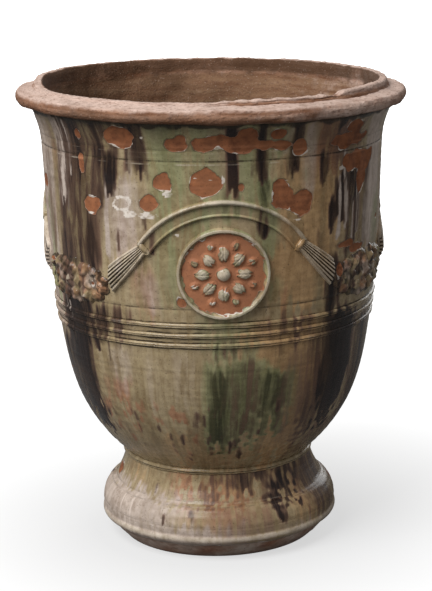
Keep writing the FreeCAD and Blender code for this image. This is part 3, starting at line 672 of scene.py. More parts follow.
inner_girth = inset(girth, WALL_THICKNESS)
floor_edge = (neck[0] - WALL_THICKNESS, JOINT + FLOOR_THICKNESS)
floor_corner = (floor_edge[0] + FLOOR_CORNER, floor_edge[1] + FLOOR_CORNER)
spigot = (neck[0] - FOOT_THICKNESS - SLIP_ROOM, JOINT - SPIGOT_DEPTH)
tongue = (inner_girth[0] + TONGUE_THICKNESS, level_of("bowl", 1))
bowl_side = flow(neck, NECK_LEAN, girth, GIRTH_LEAN, ROW)
bowl_inside = np.vstack([
    straight(INNER_ROW, girth, (tongue[0], SEAM), tongue, (inner_girth[0], tongue[1])),
    flow(floor_corner, NECK_LEAN, inner_girth, GIRTH_LEAN, INNER_ROW)[::-1],
    straight(INNER_ROW, floor_corner, floor_edge, (DRAIN_RADIUS, floor_edge[1]), (DRAIN_RADIUS, spigot[1]),
             spigot, (spigot[0], JOINT), neck),
])
bowl_section = closed(bowl_side, bowl_inside)
bowl_is_inside = np.arange(len(bowl_section)) >= len(bowl_side)
points = turned(bowl_section)
state = glaze_state(points, body_runs, body_chips)
state["section"] = along(bowl_section)
GLAZE_LOSS = 0.8
THICK_RUN_RISE = 0.4
BOWL_LINE = (317, 0.4)


def flaked(chip):
    """The push where glaze has flaked off: in by the glaze's thickness inside a chip, over a short slope."""
    return -GLAZE_LOSS * step_up(1.5, -1.5, chip)


def mid_level(node):
    """The level half way up a node of the frame, in mm."""
    return (level_of(node, 0) + level_of(node, 1)) / 2


CORDON_PLACES = ("lower", "middle", "upper")
CORDON_LEVELS = [mid_level("cordon_" + place) for place in CORDON_PLACES]
POOL_WIDTH = 7.5


def pooled(points):
    """How deep the glaze lies beside the cordons: most at their foot, thinning out over the pool's width."""
    beside = np.min([np.abs(points[..., 2] - level) for level in CORDON_LEVELS], axis=0)
    return (0.8 + 0.25 * waves(points, 70, 44)) * step_up(POOL_WIDTH, 4.0, beside)


state["pool_and_shade"] = pooled(points)
push = thrown(points) + flaked(state["chip"]) + THICK_RUN_RISE * state["brown"]
push += scored(*BOWL_LINE, LINE_WIDTH, points)
push = np.where(bowl_is_inside[:, None], 0.0, push)
bowl = skin("glazed_bowl", turned(bowl_section, push), [glaze, clay], state, bowl_is_inside)
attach(bowl, "root")
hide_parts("bowl")

# Wall
# The upper body, a tall thrown ring that leans out a little and flares at the mouth, luted over the bowl's
# tongue. Its top edge stands up as a lip, worn down at the front left and ragged at the front right.

SHOULDER = 611.0
RIM_LEVEL = level_of("rim", 0)
TOP = level_of("wall", 1)
SHOULDER_RADIUS = 263.0
MOUTH_RADIUS = 279.5
LIP_SET_IN = 9.0
LIP_THICKNESS = 13.0
LIP_FACE_HEIGHT = 20.0
LIP_CORNER = 2.5
LIP_BAND = 26.0
LIP_BAND_RISE = 2.5
WALL_LINES = ((634, 1.2), (650, 0.8), (641, 0.4), (416, 0.9), (600, 0.3), (575, 0.25))
shoulder = (SHOULDER_RADIUS, SHOULDER)
mouth = (MOUTH_RADIUS, RIM_LEVEL)
lip_radius = MOUTH_RADIUS - LIP_SET_IN
lip_base = (lip_radius, level_of("rim", 1))
lip_outer = (lip_radius, TOP - LIP_CORNER)
lip_top_outer = (lip_radius - LIP_CORNER, TOP)
lip_top_inner = (lip_radius - LIP_THICKNESS + LIP_CORNER, TOP)
lip_inner = (lip_radius - LIP_THICKNESS, TOP - LIP_CORNER)
lip_face = (lip_radius - LIP_THICKNESS, TOP - LIP_FACE_HEIGHT)
inner_shoulder = inset(shoulder, WALL_THICKNESS)
tongue_room = tongue[0] + SLIP_ROOM
wall_side = np.vstack([flow(girth, GIRTH_LEAN, shoulder, SHOULDER_LEAN, ROW),
                       flow(shoulder, SHOULDER_LEAN, mouth, MOUTH_LEAN, ROW)])
wall_lip = np.vstack([
    straight(2 * ROW, mouth, lip_base),
    straight(ROW / 2, lip_base, lip_outer, lip_top_outer, lip_top_inner, lip_inner),
    straight(2 * ROW, lip_inner, lip_face),
    flow(inner_shoulder, SHOULDER_LEAN, lip_face, MOUTH_LEAN, INNER_ROW / 2)[::-1],
    flow((inner_girth[0], tongue[1]), GIRTH_LEAN, inner_shoulder, SHOULDER_LEAN, INNER_ROW)[::-1],
    straight(INNER_ROW, (inner_girth[0], tongue[1]), (tongue_room, tongue[1]), (tongue_room, SEAM), girth),
])
wall_section = closed(wall_side, wall_lip)
wall_is_inside = np.arange(len(wall_section)) >= len(closed(wall_side))
points = turned(wall_section)
state = glaze_state(points, body_runs, body_chips)
# Painted shade: a dark band on the wall just under the rim, where the rim's shadow falls.
state["pool_and_shade"] = 0.9 * step_up(RIM_LEVEL - 8, RIM_LEVEL - 1, points[..., 2] + 3.0 * waves(points, 30, 54))
state["pool_and_shade"] = np.maximum(state["pool_and_shade"], pooled(points))
push = thrown(points) + flaked(state["chip"]) + THICK_RUN_RISE * state["brown"]
for line_level, depth in WALL_LINES:
    line = scored(line_level, depth, LINE_WIDTH, points)
    push = push + line
    edges = scored(line_level - 3.5, depth, LINE_WIDTH, points)
    edges = edges + scored(line_level + 6, 0.6 * depth, 2.5, points)
    state["pool_and_shade"] = np.maximum(state["pool_and_shade"], -0.7 * line)
    state["crest"] = np.maximum(state["crest"], -edges * (0.4 + 0.35 * waves(points, 60, 58)))
band_end = TOP - LIP_BAND
in_band = step_up(band_end - 2, band_end + 2, points[..., 2]) * step_up(TOP - 6, TOP - 12, points[..., 2])
lip_push = 0.6 * waves(points, 30, 51, 0.25) + LIP_BAND_RISE * in_band + 0.5 * waves(points, 9, 56) * in_band
push = np.where(wall_is_inside[:, None], lip_push, push)
points = turned(wall_section, push)

# Only a share of the lip's height above the rim is kept: least where it is worn, more where it is broken
# uneven, with a notch where that ends, and nearly all of it round the back.
WORN_FROM, WORN_TO = -86.0, 0.0
NOTCH_AT, NOTCH_HALF = 40.0, 2.5
WHOLE_SHARE, LEAST_SHARE = 0.9, 0.08
WORN_LOSS, BROKEN_LOSS, NOTCH_LOSS = 0.7, 0.38, 0.25
azimuth = np.degrees(np.arctan2(points[..., 0], -points[..., 1]))
worn = step_up(WORN_FROM - 14, WORN_FROM + 14, azimuth) * step_up(WORN_TO + 12, WORN_TO - 12, azimuth)
broken = step_up(WORN_TO - 12, WORN_TO + 12, azimuth) * step_up(NOTCH_AT + 3, NOTCH_AT - 1, azimuth)
notch = np.exp(-((azimuth - NOTCH_AT) / NOTCH_HALF) ** 2)
ragged = 0.03 * waves(points, 90, 52) + 0.03 * waves(points, 5, 57)
ragged += (0.03 + 0.07 * broken) * waves(points, 20, 53)
kept = WHOLE_SHARE - WORN_LOSS * worn - BROKEN_LOSS * broken - NOTCH_LOSS * notch + ragged
above = np.maximum(points[..., 2] - lip_base[1], 0)
points[..., 2] -= above * (1 - np.clip(kept, LEAST_SHARE, 1.0))

# Dust lies on top of the lip. Painted light makes the inside paler down its lit side, and painted shade
# darkens the inside in a band under the lip and on the side across from the lit one.
LIT_SIDE, LIT_REACH = 80.0, 45.0
SHADED_SIDE, SHADED_REACH = -130.0, 65.0
on_lip = step_up(lip_inner[0] + 0.5, lip_inner[0] + 3, np.hypot(points[..., 0], points[..., 1]))
lip_dust = np.maximum(step_up(TOP - 11, TOP - 5, points[..., 2]), worn)
state["dust_and_light"] = lip_dust * on_lip * step_up(TOP - 24, TOP - 16, points[..., 2])
state["tan"] = step_up(band_end + 2, band_end - 4, points[..., 2])
# Painted light: the inside is paler down its lit side.
state["dust_and_light"] += 0.7 * np.exp(-((azimuth - LIT_SIDE) / LIT_REACH) ** 2) * (1 - on_lip)
# Painted shade: the inside is darker on the side away from the light.
from_shaded_side = (azimuth - SHADED_SIDE + 180) % 360 - 180
shaded_side = 0.35 * np.exp(-(from_shaded_side / SHADED_REACH) ** 2)
# Painted shade: a dark band inside, under the lip.
shade_under_lip = 0.55 * step_up(band_end, band_end + 6, points[..., 2] + 2.0 * waves(points, 40, 55))
state["damp_and_shade"] = np.maximum(shade_under_lip, shaded_side) * (1 - on_lip)
state["section"] = along(wall_section)
RIM_TILT = 3.5


def tilted(points):
    """The points with the mouth a little out of true: the rim sinks to the right and rises to the left by the
    sine of the azimuth, fading out down the wall."""
    turn = np.arctan2(points[..., 0], -points[..., 1])
    sunk = points.copy()
    sunk[..., 2] -= RIM_TILT * np.sin(turn) * step_up(SHOULDER - 40, RIM_LEVEL, points[..., 2])
    return sunk


points = tilted(points)
wall = skin("glazed_wall", points, [glaze, clay], state, wall_is_inside)
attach(wall, "root")
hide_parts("wall")

# Rim
# A heavy roll of clay laid round the mouth and pressed down flat on top. It is bare earthenware, dusty on
# top, with its outer edge rubbed and chipped to red-brown.

RIM_SETBACK = 4.0
RIM_UNDERSIDE_RISE = 4.0
RIM_EDGE_HEIGHT = 18.0
RIM_BEDDING = 2.0
rim_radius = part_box("rim")[1].x * MM
edge_low = (rim_radius - RIM_SETBACK, RIM_LEVEL + RIM_UNDERSIDE_RISE)
edge_middle = (rim_radius, edge_low[1] + RIM_EDGE_HEIGHT / 2)
edge_high = (edge_low[0], edge_low[1] + RIM_EDGE_HEIGHT)
back_low = (MOUTH_RADIUS - RIM_BEDDING, RIM_LEVEL)
back_high = (lip_radius - RIM_BEDDING, lip_base[1])
rim_section = closed(
    straight(ROW, back_low, edge_low),
    arc(edge_low, edge_middle, edge_high, ROW / 2),
    straight(ROW, edge_high, back_high),
    straight(INNER_ROW, back_high, back_low),
)
points = turned(rim_section)
dust_on_top = 0.05 + 0.95 * step_up(edge_high[1] - 7, edge_high[1] + 3, points[..., 2])
dusty_stretch = 0.75 * np.exp(-(around(points, 42) / 130) ** 2)
# Painted shade: the underside of the rim's edge is darker, as in its own shadow.
shade_below_edge = 0.35 * step_up(edge_low[1] + 6, edge_low[1] - 2, points[..., 2])
damp_stretch = 0.3 * np.exp(-(around(points, -32) / 90) ** 2)
damp_stretch = damp_stretch * step_up(edge_high[1], edge_high[1] - 8, points[..., 2])
state = {
    "dust_and_light": np.maximum(dust_on_top, dusty_stretch),
    "damp_and_shade": np.maximum(shade_below_edge, damp_stretch),
    "section": along(rim_section),
}
push = 1.0 * waves(points, 110, 62) + 0.4 * waves(points, 24, 63, 0.5) + 0.25 * waves(points, 9, 64, 0.5)
rim = skin("bare_rim", tilted(turned(rim_section, push)), [clay], state)
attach(rim, "root")
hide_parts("rim")

# Cordons
# Thin coils of clay laid round the body over its joints and run smooth between the fingers: one over the
# joint with the foot, three over the seam at the girth. Glaze pools beside them and thins on their crests.

CORDON_HALF_WIDTH = 4.0
CORDON_RISE = 3.6
NECK_CORDON_HALF_WIDTH = 5.0
NECK_CORDON_RISE = 5.0
CORDON_BEDDING = 3.0
FINGER_LINE_DEPTH = 1.0
body_side = np.vstack([bowl_side, wall_side])


def side_radius(level):
    """The radius of the body's outer side at a level."""
    return np.interp(level, body_side[:, 1], body_side[:, 0])


def lay_cordon(name, node, half_width, rise, radius):
    """A half-round coil: the height over the side is rise times the root of one less the square of the share
    of its half width, less a line drawn along it, and its flat back lies in the clay."""
    middle = mid_level(node)
    angle = np.linspace(-math.pi / 2, math.pi / 2, 33)
    front = np.column_stack([radius + rise * np.cos(angle), middle + half_width * np.sin(angle)])
    back = np.column_stack([np.full(2, radius - CORDON_BEDDING), middle + half_width * np.array([1, -1])])
    section = np.vstack([front, back])
    points = turned(section)
    state = glaze_state(points, body_runs, body_chips)
    height = (np.hypot(points[..., 0], points[..., 1]) - radius) / rise
    from_line = (points[..., 2] - middle) / half_width + 0.25
    finger_line = np.exp(-(from_line / 0.17) ** 2) * (height > 0)
    in_line = (0.85 + 0.3 * waves(points, 80, 73)) * finger_line
    state["crest"] = (0.2 + 0.2 * waves(points, 60, 72)) * step_up(0.5, 1.0, height)
    state["pool_and_shade"] = np.maximum(0.8 * step_up(0.6, 0.1, height), in_line)
    push = 0.35 * waves(points, 40, 71, 0.3) + thrown(points) - FINGER_LINE_DEPTH * finger_line
    piece = skin(name, turned(section, push), [glaze], state)
    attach(piece, "root")
    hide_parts(node)


lay_cordon("neck_coil", "neck_cordon", NECK_CORDON_HALF_WIDTH, NECK_CORDON_RISE, neck[0])
for place, level in zip(CORDON_PLACES, CORDON_LEVELS):
    radius = side_radius(level)
    lay_cordon("girth_coil_" + place, "cordon_" + place, CORDON_HALF_WIDTH, CORDON_RISE, radius)

# Medallions
# Round plates pressed in a mould and luted on with slip, one in the middle of each garland. A stepped frame
# holds a plain rosette of petals. The glaze is rubbed off the field, so that it shows red clay.

GARLAND_COUNT = 3
GARLAND_TURN = 360.0 / GARLAND_COUNT
MEDALLION_RADIUS = 68.5
FRAME_WIDTH = 8.0
FRAME_STEP = 2.0
PLATE_RISE = 3.0
FRAME_RISE = 6.0
FRAME_CREST_RISE = 8.0
PETAL_COUNT = 8
PETAL_LENGTH = 42.0
PETAL_GIRTH = 12.0
PETAL_SINK = 7.0
PETAL_CENTRE = 30.0
TIP_LENGTH = 26.0
TIP_GIRTH = 8.0
TIP_SINK = 4.5
TIP_CENTRE = 45.0
BUTTON_RADIUS = 12.0
BUTTON_SINK = 5.0
VEIN_PITCH = 5.0
BEDDING = 4.0


def on_wall(azimuth, across, level, rise):
    """Points over the wall: across is mm round the vase from an azimuth, and rise is mm along the wall's
    outward normal, which leans back by the slope of its side."""
    radius = side_radius(level)
    slope = (side_radius(level + 1) - side_radius(level - 1)) / 2
    length = np.hypot(1, slope)
    return spun(azimuth + np.degrees(across / radius), radius + rise / length, level - rise * slope / length)


medallion_level = mid_level("medallion_1")
field_radius = MEDALLION_RADIUS - FRAME_WIDTH
ring = np.concatenate([np.linspace(1.0, field_radius, 46),
                       np.linspace(field_radius, MEDALLION_RADIUS + 1, 16)[1:]])[:, None]
angle = np.linspace(0, math.tau, 240, endpoint=False)[None, :]


def rosette_leaf(half_turn, centre, length, girth, sink):
    """The height of a ring of pointed leaves over the plate. Along a leaf its girth falls off as the square
    of the distance from its middle. It is round across, sunk by sink, veined, and creased on its midrib."""
    spacing = math.tau / PETAL_COUNT
    turn = (angle + spacing * (0.5 + half_turn)) % spacing - spacing / 2
    lengthwise = ring * np.cos(turn) - centre
    across = ring * np.sin(turn)
    around_leaf = girth * np.clip(1 - (2 * lengthwise / length) ** 2, 0, 1)
    height = np.sqrt(np.clip(around_leaf ** 2 - across ** 2, 0, None)) - sink
    vein = np.cos(math.tau * (np.abs(across) + 0.6 * lengthwise) / VEIN_PITCH)
    return height - (0.9 * np.exp(-across ** 2) + 0.25 + 0.25 * vein) * (height > 0.9)


# Over rings and angles, the plate's height is the highest of petals, tips, button and stepped frame. It falls
# to the bedding past the plate's edge, and two more rings close its back.
petals = rosette_leaf(0.0, PETAL_CENTRE, PETAL_LENGTH, PETAL_GIRTH, PETAL_SINK)
tips = rosette_leaf(0.5, TIP_CENTRE, TIP_LENGTH, TIP_GIRTH, TIP_SINK)
button = np.sqrt(np.clip(BUTTON_RADIUS ** 2 - ring ** 2, 0, None)) - BUTTON_SINK
relief = np.maximum.reduce([petals, tips, button + 0 * angle, 0 * petals])
from_frame = ring - field_radius
from_edge = MEDALLION_RADIUS - ring
frame_height = FRAME_RISE * step_up(-0.4, 0.8, from_frame)
from_step = np.minimum(from_frame, from_edge) - FRAME_STEP
crest_height = (FRAME_CREST_RISE - FRAME_RISE) * step_up(-1, 0.6, from_step)
rise = np.maximum(PLATE_RISE + relief, frame_height + crest_height) * step_up(-0.6, 0.6, from_edge)
rise = rise - BEDDING * step_up(0.4, -0.6, from_edge)
back_ring = np.array([0.6, 0.3])[:, None] * MEDALLION_RADIUS
ring_all = np.vstack([ring, back_ring])
rise_all = np.vstack([rise, np.full((2, angle.size), -BEDDING)])
relief_all = np.vstack([relief, np.zeros((2, angle.size))])
for index in range(GARLAND_COUNT):
    level = medallion_level + ring_all * np.sin(angle)
    points = on_wall(GARLAND_TURN * index, ring_all * np.cos(angle), level, rise_all)
    state = glaze_state(points, body_runs, body_chips)
    field = np.maximum(ring_all - field_radius + 1, 2.0 * relief_all - 4.0)
    state["chip"] = np.minimum(state["chip"], field + 2.0 * waves(points, 12, 81))
    frame_crest = step_up(-1, 1, ring_all - field_radius) * step_up(FRAME_RISE, FRAME_CREST_RISE, rise_all)
    crest = np.clip(frame_crest + step_up(1, 4, relief_all), 0, 1)
    state["crest"] = np.maximum(0.85 * crest, 0.4 * (field < 0))
    state["pool_and_shade"] = 0.9 * step_up(0.0, 0.6, relief_all) * step_up(2.4, 0.8, relief_all)
    state["green"] = np.maximum(state["green"], 0.7 * step_up(0.0, 0.7, waves(points, 40, 82)))
    state["brown"] *= 0.3
    name = "medallion_" + str(index + 1)
    piece = skin("rosette_" + name, points, [glaze], state, poles=True)
    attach(piece, "root")
    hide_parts(name)

# Arches
# A press-moulded strap over each medallion, with a thin bead along its inner edge and a thick one along its
# outer edge. It is luted on in one length, and the glaze is thin and pale on its beads.

ARCH_RADIUS = 141.5
ARCH_HALF_ANGLE = 53.0
STRAP_WIDTH = 25.0
STRAP_RISE = 2.5
INNER_BEAD_WIDTH = 5.0
INNER_BEAD_RISE = 4.5
OUTER_BEAD_WIDTH = 8.0
OUTER_BEAD_RISE = 7.5
STRAP_BACK = [-1, 30, 14, 0]
arch_centre = level_of("arch_1", 1) - ARCH_RADIUS - STRAP_WIDTH / 2


def rounded(distance, half_width, height):
    """The height of a half-round bead at a distance from its middle, and 0 beyond its half width."""
    return height * np.sqrt(np.clip(1 - (distance / half_width) ** 2, 0, 1))


# Across the strap the height is the highest of two half-round beads and the flat between them. Points behind
# close this section, at places that it has in front, and it is swept round the arch's centre.
strap = np.linspace(-STRAP_WIDTH / 2 - 0.6, STRAP_WIDTH / 2 + 0.6, 44)
inner_bead = rounded(strap + STRAP_WIDTH / 2 - INNER_BEAD_WIDTH / 2, INNER_BEAD_WIDTH / 2, INNER_BEAD_RISE)
outer_bead = rounded(strap - STRAP_WIDTH / 2 + OUTER_BEAD_WIDTH / 2, OUTER_BEAD_WIDTH / 2, OUTER_BEAD_RISE)
strap_height = np.where(np.abs(strap) < STRAP_WIDTH / 2 - 2, STRAP_RISE, 0)
strap_height = np.maximum.reduce([inner_bead, outer_bead, strap_height])
strap_height = np.where(np.abs(strap) > STRAP_WIDTH / 2, -BEDDING, strap_height)
strap_crest = np.maximum(0.45 * inner_bead / INNER_BEAD_RISE, outer_bead / OUTER_BEAD_RISE)
loop_across = np.concatenate([strap, strap[STRAP_BACK]])[None, :]
loop_rise = np.concatenate([strap_height, np.full(len(STRAP_BACK), -BEDDING)])[None, :]
loop_crest = np.concatenate([strap_crest, np.zeros(len(STRAP_BACK))])[None, :]
sweep = np.radians(np.linspace(-ARCH_HALF_ANGLE - 2, ARCH_HALF_ANGLE + 2, 130))[:, None]
for index in range(GARLAND_COUNT):
    across = (ARCH_RADIUS + loop_across) * np.sin(sweep)
    level = arch_centre + (ARCH_RADIUS + loop_across) * np.cos(sweep)
    points = on_wall(GARLAND_TURN * index, across, level, loop_rise)
    state = glaze_state(points, body_runs, body_chips)
    state["crest"] = 1.4 * step_up(0.25, 0.85, loop_crest) * (0.8 + 0.4 * waves(points, 60, 91))
    between_beads = step_up(0.5, 0.1, loop_crest) * step_up(0.5, 1.5, loop_rise)
    state["pool_and_shade"] = 0.35 * between_beads * np.ones_like(sweep)
    state["brown"] *= 0.6
    name = "arch_" + str(index + 1)
    piece = skin("garland_" + name, points, [glaze], state, poles=True)
    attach(piece, "root")
    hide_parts(name)

# Husks
# Fluted fans that hang from a barrel-shaped tie at each end of an arch down to the fruit, press-moulded like
# a sheaf of reeds. Dark glaze fills the flutes, and the reeds are pale where it thinned.

HUSK_FLUTES = 7
HUSK_TIE_WIDTH = 17.0
HUSK_MOUTH_WIDTH = 42.0
HUSK_TIE_RISE = 5.0
HUSK_MOUTH_RISE = 9.0
HUSK_EDGE_RISE = 1.5
REED_ROUNDNESS = 0.4
HUSK_MOUTH_LIFT = 14.0
HUSK_MOUTH_TURN = 34.0
TIE_LENGTH = 9.0
TIE_WIDTH = 28.0
TIE_RISE = 8.5
EDGE_BEAD = 5.5
EDGE_BEAD_RISE = 6.0
HUSK_BACK = [-1, 60, 36, 0]
FRUIT_HALF_WIDTH = 92.0
fruit_level = mid_level("fruit_1")
husk_start = (ARCH_RADIUS * math.sin(math.radians(ARCH_HALF_ANGLE)),
              arch_centre + ARCH_RADIUS * math.cos(math.radians(ARCH_HALF_ANGLE)))
half_way_round = side_radius(fruit_level) * math.radians(GARLAND_TURN / 2)
husk_end = (half_way_round - FRUIT_HALF_WIDTH, fruit_level + HUSK_MOUTH_LIFT)
husk_length = math.dist(husk_start, husk_end)

# Along its run a husk widens and rises evenly from the tie to its mouth. Across its spread it is arched, with
# round reeds on the arch and a bead along each edge, and at the tie a barrel takes the place of the reeds.
run = np.linspace(0, husk_length, 90)[:, None]
share = np.clip((run - TIE_LENGTH / 2) / (husk_length - TIE_LENGTH / 2), 0, 1)
fan = HUSK_TIE_WIDTH + (HUSK_MOUTH_WIDTH - HUSK_TIE_WIDTH) * share
spread = np.linspace(-0.5, 0.5, 97)[None, :]
crown = HUSK_TIE_RISE + (HUSK_MOUTH_RISE - HUSK_TIE_RISE) * share
reed = (spread + 0.5) * HUSK_FLUTES % 1.0
reed_crest = 1 - (2 * reed - 1) ** 2
husk_height = HUSK_EDGE_RISE + (crown - HUSK_EDGE_RISE) * (1 - (2 * spread) ** 2)
husk_height = husk_height + reed_crest * fan / HUSK_FLUTES * REED_ROUNDNESS
from_tie = (run - TIE_LENGTH / 2) / TIE_LENGTH
tie_width = np.maximum(fan, rounded(from_tie, 0.7, TIE_WIDTH))
tie_height = rounded(spread, 0.5, TIE_RISE) * rounded(from_tie, 0.62, 1)
is_tie = step_up(TIE_LENGTH + 2, TIE_LENGTH - 2, run)
width = fan * (1 - is_tie) + tie_width * is_tie
height = husk_height * (1 - is_tie) + np.maximum(tie_height, husk_height * 0.8) * is_tie
edge_bead = rounded((0.5 - np.abs(spread)) * width - EDGE_BEAD / 2, EDGE_BEAD / 2, EDGE_BEAD_RISE)
height = np.maximum(height, edge_bead) * step_up(-1.5, 1.5, husk_length - run)
height[:, [0, -1]] = -BEDDING
side = width * spread
flute = (1 - reed_crest) * (1 - is_tie) * (edge_bead < 1.0)
husk_back = np.zeros((len(run), len(HUSK_BACK)))
loop_side = np.concatenate([side, side[:, HUSK_BACK]], axis=1)
loop_rise = np.concatenate([height, husk_back - BEDDING], axis=1)
loop_flute = np.concatenate([flute, husk_back], axis=1)
fall = math.atan2(husk_end[1] - husk_start[1], husk_end[0] - husk_start[0])
lean = fall + math.radians(HUSK_MOUTH_TURN) * share
across = husk_start[0] + run * math.cos(fall) - loop_side * np.sin(lean)
level = husk_start[1] + run * math.sin(fall) + loop_side * np.cos(lean)
for index in range(GARLAND_COUNT):
    for hand, hand_name in ((-1, "left"), (1, "right")):
        points = on_wall(GARLAND_TURN * index, hand * across, level, loop_rise)
        state = glaze_state(points, body_runs, body_chips)
        state["pool_and_shade"] = step_up(0.08, 0.4, loop_flute)
        state["crest"] = step_up(0.5, 0.0, loop_flute) * (1 - 0.6 * is_tie)
        state["crest"] *= 1.1 + 0.3 * waves(points, 50, 94)
        state["brown"] *= 0.6
        name = "husk_" + str(index + 1) + "_" + hand_name
        piece = skin("garland_" + name, points, [glaze], state, poles=True)
        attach(piece, "root")
        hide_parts(name)

# Fruit
# A press-moulded cluster where two garlands meet: rows of round fruit heaped inside a ring of leaves. Dark
# glaze lies deep between the fruit.

FRUIT_RADIUS = 14.0
FRUIT_TAPER = 4.0
FRUIT_PITCH = 23.0
FRUIT_ROW_PITCH = 18.0
FRUIT_LONG_ROW = 7
LEAF_COUNT = 16
LEAF_LENGTH = 32.0
LEAF_GIRTH = 10.0
LEAF_SINK = 3.0
LEAF_RING = (76.0, 25.0)
FRUIT_HALF_HEIGHT = 41.0
FRUIT_BACK = [-1, 106, 53, 0]

# Over columns and rows, the heap is the highest of balls in three rows, each dimpled, and of creased leaves
# in an oval round them. Glaze lowers it, lumps it, and fills it to a low dome.
column = np.linspace(-FRUIT_HALF_WIDTH - 3, FRUIT_HALF_WIDTH + 3, 160)[None, :]
row = np.linspace(-FRUIT_HALF_HEIGHT - 3, FRUIT_HALF_HEIGHT + 3, 84)[:, None]
heap = np.full((row.size, column.size), -BEDDING)
reach = FRUIT_PITCH * (FRUIT_LONG_ROW - 1) / 2
draw = np.random.default_rng(9)
for layer in (-1, 0, 1):
    count = FRUIT_LONG_ROW - abs(layer)
    for place in range(count):
        middle = FRUIT_PITCH * (place - (count - 1) / 2)
        radius = FRUIT_RADIUS - FRUIT_TAPER * abs(middle) / reach - draw.uniform(0, 2.5)
        aside, up = draw.uniform(-2.5, 2.5, 2)
        distance = np.hypot(column - middle - aside, row - FRUIT_ROW_PITCH * layer - up)
        ball = np.where(distance < radius, rounded(distance, radius, radius), 1.2 * (radius - distance))
        heap = np.maximum(heap, ball - 2.0 * np.exp(-(distance / 2.6) ** 2))
for place in range(LEAF_COUNT):
    turn = math.tau * (place + 0.5) / LEAF_COUNT
    from_middle = column - LEAF_RING[0] * math.cos(turn)
    from_level = row - LEAF_RING[1] * math.sin(turn)
    lengthwise = from_middle * math.cos(turn) + from_level * math.sin(turn)
    aside = from_level * math.cos(turn) - from_middle * math.sin(turn)
    leaf_girth = np.maximum(LEAF_GIRTH * (1 - (2 * lengthwise / LEAF_LENGTH) ** 2), 1e-3)
    leaf = rounded(aside, leaf_girth, leaf_girth) - LEAF_SINK
    heap = np.maximum(heap, leaf - np.exp(-(aside / 1.1) ** 2))
lump = np.cos(column / 3.1 + 0.7 * np.sin(row / 4.3)) * np.cos(row / 2.7 + 0.9 * np.sin(column / 5.1))
heap = np.where(heap > 0, 0.75 * heap + 1.4 * lump, heap)
drowned = 5.0 - 9.0 * np.hypot(column / FRUIT_HALF_WIDTH, row / FRUIT_HALF_HEIGHT) ** 4
heap = np.maximum(heap, drowned)
heap[:, [0, -1]] = -BEDDING
heap[[0, -1], :] = -BEDDING
loop_across = np.concatenate([column, column[:, FRUIT_BACK]], axis=1)
loop_rise = np.concatenate([heap, np.full((row.size, len(FRUIT_BACK)), -BEDDING - 1)], axis=1)
for index in range(GARLAND_COUNT):
    points = on_wall(GARLAND_TURN * (index + 0.5), loop_across, fruit_level + row, loop_rise)
    state = glaze_state(points, body_runs, body_chips)
    state["pool_and_shade"] = 0.7 * step_up(7.0, 2.0, loop_rise + 3.0 * waves(points, 14, 95))
    state["crest"] = 0.9 * step_up(7.0, 13.0, loop_rise + 3.0 * waves(points, 16, 96))
    state["brown"] = np.maximum(0.6 * state["brown"], 0.9 * step_up(-0.1, 0.8, waves(points, 30, 98)))
    state["blush"] = 0.9 * step_up(-0.6, 0.4, waves(points, 36, 99))
    state["pale"] = 0.7 * step_up(-0.3, 0.6, waves(points, 44, 100))
    state["chip"] = np.minimum(state["chip"], 13.0 - 0.6 * loop_rise + 6.0 * waves(points, 40, 97))
    name = "fruit_" + str(index + 1)
    piece = skin("garland_" + name, points, [glaze], state, poles=True)
    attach(piece, "root")
    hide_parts(name)

# Stage
# A plain white studio floor, a large soft box at the upper left, a weak one behind, fill all round, and the
# camera at the photograph's place.

FLOOR_HALF = 30.0
floor_mesh = bpy.data.meshes.new("studio_floor")
floor_mesh.from_pydata([(-FLOOR_HALF, -FLOOR_HALF, 0), (FLOOR_HALF, -FLOOR_HALF, 0),
                        (FLOOR_HALF, FLOOR_HALF, 0), (-FLOOR_HALF, FLOOR_HALF, 0)], [], [(0, 1, 2, 3)])
floor = bpy.data.objects.new("studio_floor", floor_mesh)
bpy.context.scene.collection.objects.link(floor)

# Matt white paper. To the camera it also glows by the distance in metres, so that it is seen white and keeps
# the
# shadow: less beside the vase, which is painted shade round its foot, and more far off.
paper = bpy.data.materials.new("white_paper_sweep")
paper.use_nodes = True
tree = paper.node_tree
tree.nodes.remove(tree.nodes["Principled BSDF"])
node = functools.partial(add, tree)
distance = node("VectorMath", {0: node("TexCoord", {}, "Object")}, "Value", operation="LENGTH")
shaded_glow = 0.0
for start, end, least, most in ((0.20, 0.66, 0.62, 0.96), (1.0, 4.0, 0.0, 0.7)):
    limits = {"Value": distance, "From Min": start, "From Max": end, "To Min": least, "To Max": most}
    shaded_glow = node("Math", {0: node("MapRange", limits), 1: shaded_glow}, operation="ADD")
strength = node("Math", {0: shaded_glow, 1: node("LightPath", {}, "Is Camera Ray")}, operation="MULTIPLY")
glow = node("Emission", {"Color": shade("#ffffff"), "Strength": strength})
matt = node("BsdfDiffuse", {"Color": shade("#7a7a7a")})
both = node("AddShader", {0: matt, 1: glow})
tree.links.new(both, tree.nodes["Material Output"].inputs["Surface"])
floor_mesh.materials.append(paper)

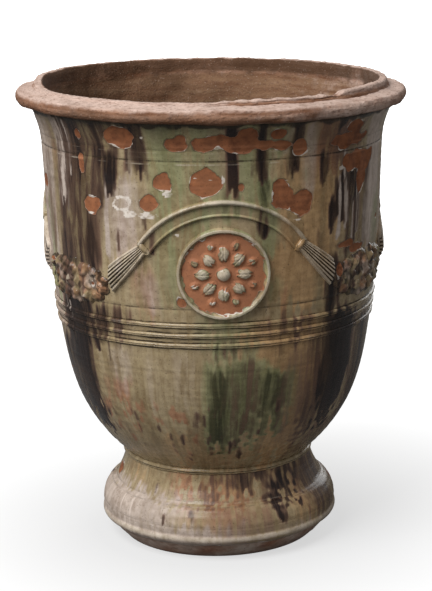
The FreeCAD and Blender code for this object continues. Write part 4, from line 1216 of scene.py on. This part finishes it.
FILL_LEVEL = 0.34
world = bpy.data.worlds.new("white_studio")
world.use_nodes = True
bpy.context.scene.world = world
tree = world.node_tree
seen = add(tree, "LightPath", {}, "Is Camera Ray")
strength = add(tree, "MapRange", {"Value": seen, "To Min": FILL_LEVEL, "To Max": 1.0})
tree.links.new(strength, tree.nodes["Background"].inputs["Strength"])
tree.nodes["Background"].inputs["Color"].default_value = shade("#ffffff")

TARGET = np.array([0.0, 0.0, 0.42])


def lamp(name, place, size, watts):
    """A square soft box at a place in metres, facing the vase."""
    light = bpy.data.lights.new(name, "AREA")
    light.size = size
    light.energy = watts
    box = bpy.data.objects.new(name, light)
    toward = TARGET - np.array(place)
    box.location = place
    box.rotation_euler = Vector(toward).to_track_quat("-Z", "Y").to_euler()
    bpy.context.scene.collection.objects.link(box)


lamp("key_soft_box", place=(-2.0, -2.1, 3.4), size=2.4, watts=215)
lamp("back_soft_box", place=(1.6, 2.4, 1.2), size=1.6, watts=18)

CAMERA_DISTANCE = 2.834
CAMERA_HEIGHT = 1.0521
CAMERA_AZIMUTH = -3.0
CAMERA_YAW = 0.04
CAMERA_PITCH = -13.378
CAMERA_ROLL = -1.129
FOCAL_PIXELS = 1840.9
PICTURE_HEIGHT = 591.0
SENSOR = 36.0
camera_data = bpy.data.cameras.new("camera")
camera_data.sensor_width = SENSOR
camera_data.lens = FOCAL_PIXELS * SENSOR / PICTURE_HEIGHT
camera = bpy.data.objects.new("camera", camera_data)
bpy.context.scene.collection.objects.link(camera)
bpy.context.scene.camera = camera
stand = math.radians(CAMERA_AZIMUTH)
camera.location = (CAMERA_DISTANCE * math.sin(stand), -CAMERA_DISTANCE * math.cos(stand), CAMERA_HEIGHT)
heading = stand - math.radians(CAMERA_YAW)
pitch, roll = math.radians(CAMERA_PITCH), math.radians(CAMERA_ROLL)
ahead = np.array([-math.sin(heading) * math.cos(pitch), math.cos(heading) * math.cos(pitch), math.sin(pitch)])
level_right = np.array([math.cos(heading), math.sin(heading), 0.0])
level_up = np.cross(level_right, ahead)
right = math.cos(roll) * level_right + math.sin(roll) * level_up
up = math.cos(roll) * level_up - math.sin(roll) * level_right
camera.rotation_euler = Matrix(np.column_stack([right, up, -ahead]).tolist()).to_euler()

bpy.context.scene.view_settings.view_transform = "Standard"
